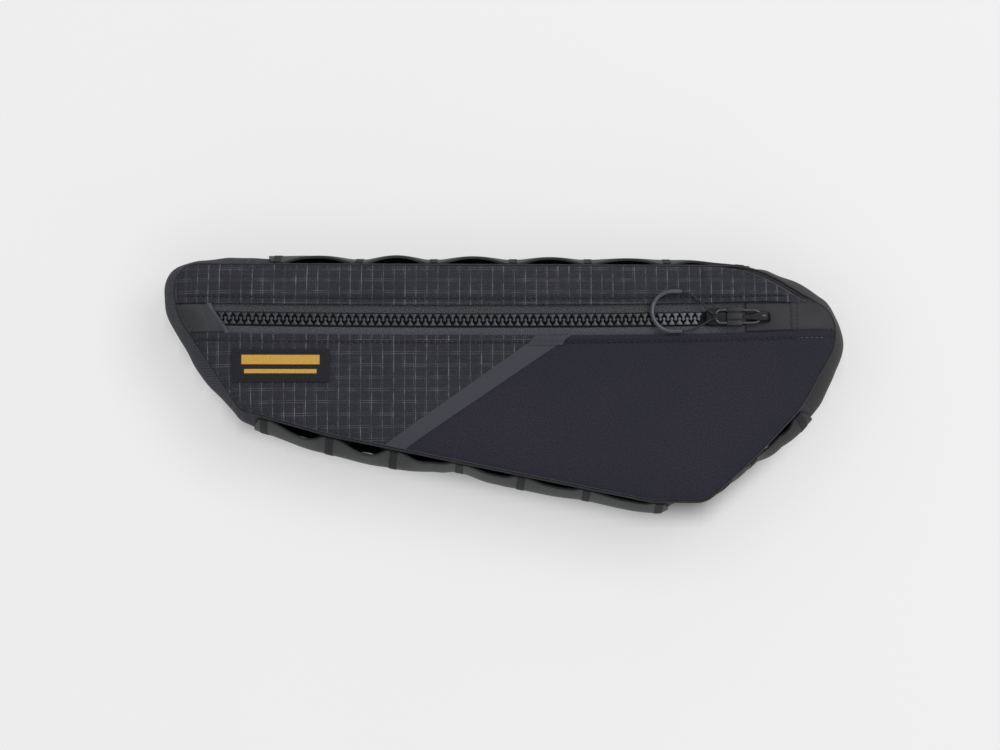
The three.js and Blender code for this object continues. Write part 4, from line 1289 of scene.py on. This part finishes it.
def tooth():
    """One moulded tooth, in mm round its own middle, head towards -Y."""
    bm = bmesh.new()
    shape = HALF_TOOTH + [(-x, y) for x, y in HALF_TOOTH[::-1]]
    base = bm.faces.new([bm.verts.new((x, y, 0)) for x, y in shape])
    top = bmesh.ops.extrude_face_region(bm, geom=[base])
    bmesh.ops.translate(bm, vec=(0, 0, TOOTH_HEIGHT), verts=upper_verts(top))
    rim_edges = [e for e in bm.edges if all(v.co.z > TOOTH_HEIGHT - .1 for v in e.verts)]
    bmesh.ops.bevel(bm, geom=rim_edges, offset=.32, affect="EDGES", segments=2, profile=.5, material=-1)
    bmesh.ops.recalc_face_normals(bm, faces=bm.faces)
    return bm


def teeth(side, name):
    clear = TOOTH_WIDTH / 2 + .2
    phase = PITCH / 2 if side < 0 else 0
    first = slanted_x(-.7) + GAP + clear + phase
    needed = slanted_x(-4.6 if side < 0 else -.7) + GAP + clear
    start = first + PITCH * math.ceil(max(0, (needed - first) / PITCH))
    count = 1 + int((SLIDER_NOSE - SLIDER_LENGTH - .6 - clear - start) / PITCH)
    parts = []
    for index in range(count):
        one, x = tooth(), start + index * PITCH
        y, z = float(zip_y(x)), DEPTH - TAPE_DROP + GAP
        bmesh.ops.scale(one, vec=(1, side, 1), verts=one.verts)
        bmesh.ops.translate(one, vec=(x, y, z), verts=one.verts)
        for vert in one.verts:
            vert.co = row(vert.co)
        if side < 0:
            bmesh.ops.reverse_faces(one, faces=one.faces)
        parts.append(one)
    return piece(join(parts), "teeth_" + name, "teeth", "bag", ["zip_teeth_" + name])


teeth(1, "upper")
teeth(-1, "lower")

# %% [markdown]
# ## The slider
# A plate runs over the teeth, and a glossy bridge on it holds the link. The plate could be a bevelled cube,
# but its corners are cut in plan, so it is a drawn-out outline. The bridge is a strip bent along a line.

# %% Slider and crown


def plan_block(outline, low_z, high_z, bevel):
    """A plate from a plan outline in mm, with its upper edges rounded."""
    bm = bmesh.new()
    base = bm.faces.new([bm.verts.new(row((x, y, low_z))) for x, y in outline])
    top = bmesh.ops.extrude_face_region(bm, geom=[base])
    bmesh.ops.translate(bm, vec=(0, 0, (high_z - low_z) / 1000), verts=upper_verts(top))
    rim_edges = [e for e in bm.edges if all(v.co.z > high_z / 1000 - 1e-5 for v in e.verts)]
    bmesh.ops.bevel(bm, geom=rim_edges, offset=bevel / 1000, affect="EDGES", segments=3, profile=.5,
                    material=-1)
    bmesh.ops.recalc_face_normals(bm, faces=bm.faces)
    return bm


def slider():
    tail_x, nose_x, half = SLIDER_NOSE - SLIDER_LENGTH, SLIDER_NOSE, SLIDER_WIDTH / 2
    c = SLIDER_WIDTH * .22
    side_line = [(tail_x, half - c / 2), (tail_x + c, half), (nose_x - c, half), (nose_x, half - c)]
    outline = [(x, EYE[1] + y) for x, y in side_line] + [(x, EYE[1] - y) for x, y in side_line[::-1]]
    plate = plan_block(outline, DEPTH - TAPE_DROP + GAP, DEPTH + SLIDER_TOP, .7)
    piece(plate, "slider_plate", "slider", "bag", ["zip_slider"])


slider()


def crown():
    """The glossy bridge that holds the link: a bent strap from the slider's nose."""
    steps, start, end = 40, SLIDER_NOSE - 1.5, SLIDER_NOSE + BRIDGE_REACH + 8.6
    line_of = [
        (start, DEPTH + 2.3), (SLIDER_NOSE + 2, DEPTH + 2.9), (SLIDER_NOSE + 5, DEPTH + 4.2),
        (EYE[0], EYE[2] + 2.3), (EYE[0] + 3.4, EYE[2] + 1.9), (end - .8, DEPTH + 2.4), (end, DEPTH + .4),
    ]
    route = curve_through([(x, EYE[1], z) for x, z in line_of], steps)

    def mapping(u, v):
        at = np.rint(u * steps).astype(int)
        half = mix(2.3, 2.7, smooth(u, .2, .6)) * np.sqrt(1 - np.clip((u - .86) / .16, 0, 1) ** 2)
        across = (v - .5) * 2
        droop = -.8 * half * (1 - np.sqrt(1 - (.99 * across) ** 2))
        return route[at] + np.column_stack([0 * v, across * half, droop]), np.column_stack([u, v])

    return piece(grid(steps, 16, mapping), "slider_crown", "crown", "bag", (), 1.2, .3, 3)


crown()

# %% [markdown]
# ## The label
# A small woven patch is sewn on the ripstop by its border, with two plain woven stripes. A flat plate would
# cut into the swell of the cloth, so it is a thin sheet that follows the cloth and lifts a little at one end.

# %% Label and its border
def label_mapping(u, v):
    x, y = (u - .5) * LABEL_SIZE[0], (v - .5) * LABEL_SIZE[1]
    gx, gy = x + LABEL_AT[0], y + LABEL_AT[1]
    z = front_height(gx, gy) + 1.15 + .5 * smooth(u, .93, 1) * np.sin(np.pi * v)
    return np.column_stack([gx, gy, z]), np.column_stack([x, y])


piece(grid(80, 28, label_mapping), "woven_label", "label", "bag", ["label_patch"], .8, .3)

# %% [markdown]
# ## Thread
# Rows of stitches hold folds, patches and seams. They could be a dashed line in each cloth's finish, but real
# ones catch the light, so each stitch is a stretched bead of few faces, half sunk in the cloth.

# %% Stitches


def stitches(name, points, finish="thread", pitch=3.4, length=2.5, thick=1.25):
    """Beads along a line of points in mm."""
    points = np.asarray(points, float)
    lengths = np.concatenate([[0], np.cumsum(np.linalg.norm(np.diff(points, axis=0), axis=1))])
    spots = np.arange(pitch / 2, lengths[-1], pitch)
    parts = bmesh.new()
    for spot in spots:
        a, b = (np.array([np.interp(spot + o, lengths, points[:, k]) for k in range(3)])
                for o in (-length / 2, length / 2))
        along = Vector(b - a).normalized()
        turn = along.to_track_quat("X", "Z").to_matrix().to_4x4()
        size = Matrix.Diagonal((length / 2000, thick / 2000, thick / 2000, 1))
        bmesh.ops.create_uvsphere(parts, u_segments=6, v_segments=4, radius=1,
                                  matrix=Matrix.Translation(Vector(row((a + b) / 2))) @ turn @ size)
    return piece(parts, name, finish)


# %% Rows beside the zip


def front_line(xs, offset):
    y = zip_y(xs, offset)
    return np.column_stack([xs, y, front_height(xs, y) + .3])


ROW = FOLD + 4
stitches("thread_upper", front_line(np.arange(-184, 160, 1.5), ROW))
stitches("thread_lower", front_line(np.arange(-178, 166, 1.5), -ROW))
stitches("thread_lower_nose", front_line(np.arange(167, 184, 1.0), -ROW), "pale_thread",
         pitch=3.0, length=1.6, thick=.4)

# %% Short rows at the nose
NOSE_ROW, PATCH_ROW = 186.2, 166.2
xs, ys = np.full(8, NOSE_ROW), np.linspace(28.5, 33.1, 8)
stitches("thread_nose", np.column_stack([xs, ys, front_height(xs, ys) + .1]), pitch=1.5, length=1.2, thick=.6)
xs, ys = np.full(20, PATCH_ROW), zip_y(PATCH_ROW) + np.linspace(-8, 8, 20)
stitches("thread_patch", np.column_stack([xs, ys, patch_height(xs, ys) + .1]),
         pitch=2.4, length=1.7, thick=.7)

# %% Rows round the seam and the label
around = np.linspace(0, AROUND, 700)
inside = on_outline(around) - outward(around) * 1.6
stitches("thread_seam", np.column_stack([inside, front_height(*inside.T) + .05]), length=2.0, thick=.4)
half_x, half_y = 26.4, 8
border = [(-half_x, -half_y), (half_x, -half_y), (half_x, half_y), (-half_x, half_y), (-half_x, -half_y)]
border = np.concatenate([np.linspace(a, b, 30) for a, b in zip(border[:-1], border[1:])]) + LABEL_AT
stitches("thread_label", np.column_stack([border, front_height(*border.T) + 1.25]),
         pitch=2.2, length=1.5, thick=.4)

# %% [markdown]
# ## Floor and light
# The bag lay on a pale sheet under a broad lamp up and to the right. Many small lamps could fill its shadows.
# A large soft lamp, an even white world and a sheet with a faint glow of its own do it with less noise.

# %% Floor


FLOOR_HALF, FLOOR_GLOW = 3, .57


def floor():
    """A sheet whose own glow fills the shadows, except below the bag and close to it."""
    bm = bmesh.new()
    bmesh.ops.create_grid(bm, x_segments=320, y_segments=320, size=1)
    bm.verts.index_update()
    at = FLOOR_HALF * np.array([v.co[:2] for v in bm.verts]) ** 3
    spots = at * 1000 - SHIFT[:2]
    near = np.hypot(*spots.T) < 400
    glow = np.ones(len(at))
    along, away = nearest(*spots[near].T)
    outside = ((spots[near] - on_outline(along)) * outward(along)).sum(-1) > 0
    away = np.where(outside, away, -away)
    # Painted light and shade: the floor's glow lifts its shadows; it is taken away from 9 mm inside the seam
    # and fades in up to 12 mm outside it, a painted shadow round the bag, and stays a little lower out to 60
    # mm.
    glow[near] = smooth(away, -9, 12) * mix(.92, 1, smooth(away, 5, 60))
    for vert, xy in zip(bm.verts, at):
        vert.co = (*xy, 0)
    layer = bm.loops.layers.uv.new("glow")
    for face in bm.faces:
        for loop in face.loops:
            loop[layer].uv = (glow[loop.vert.index], 0)
    mesh = bpy.data.meshes.new("floor")
    bm.to_mesh(mesh)
    bm.free()
    made = bpy.data.objects.new("floor", mesh)
    bpy.context.scene.collection.objects.link(made)
    f = Finish("paper")
    share = f.split(f.node("ShaderNodeUVMap", {"uv_map": "glow"}))[0]
    paper = f.blend(f.noise(f.solid(), .01, 1), (.275, .275, .275, 1), (.285, .285, .285, 1))
    material = f.finish(paper, .95)
    f.tree.links.new(f.blend(share, (0, 0, 0, 1), (1, 1, 1, 1)).output, f.shader.inputs["Emission Color"])
    f.shader.inputs["Emission Strength"].default_value = FLOOR_GLOW
    mesh.materials.append(material)
    made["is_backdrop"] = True
    return made


floor()

# %% Lamp and world


def lamp(name, at, size, power):
    light = bpy.data.lights.new(name, "AREA")
    light.shape, light.size, light.energy = "DISK", size, power
    made = bpy.data.objects.new(name, light)
    made.location = at
    made.rotation_euler = (LOOK_AT - Vector(at)).to_track_quat("-Z", "Y").to_euler()
    bpy.context.scene.collection.objects.link(made)


lamp("main", (1.2, .75, 2.25), 1.6, 26)
world = bpy.data.worlds.new("studio")
world.use_nodes = True
sky = world.node_tree.nodes["Background"].inputs
sky["Color"].default_value, sky["Strength"].default_value = (1, 1, 1, 1), .73
bpy.context.scene.world = world
bpy.context.scene.view_settings.view_transform = "Standard"
print("lit by a lamp and a white world")

# %% [markdown]
# ## Sizes and the end
# The finished look must stay as large as the solids. It could be checked by eye, but a number is surer, so
# both boxes are kept side by side.

# %% Keep the sizes and finish
sizes = {"cad": [list(c) for c in cad_box], "visual": [list(c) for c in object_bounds()]}
for name, box in sizes.items():
    print(name, "box in mm:", [[round(v * 1000, 1) for v in corner] for corner in box])
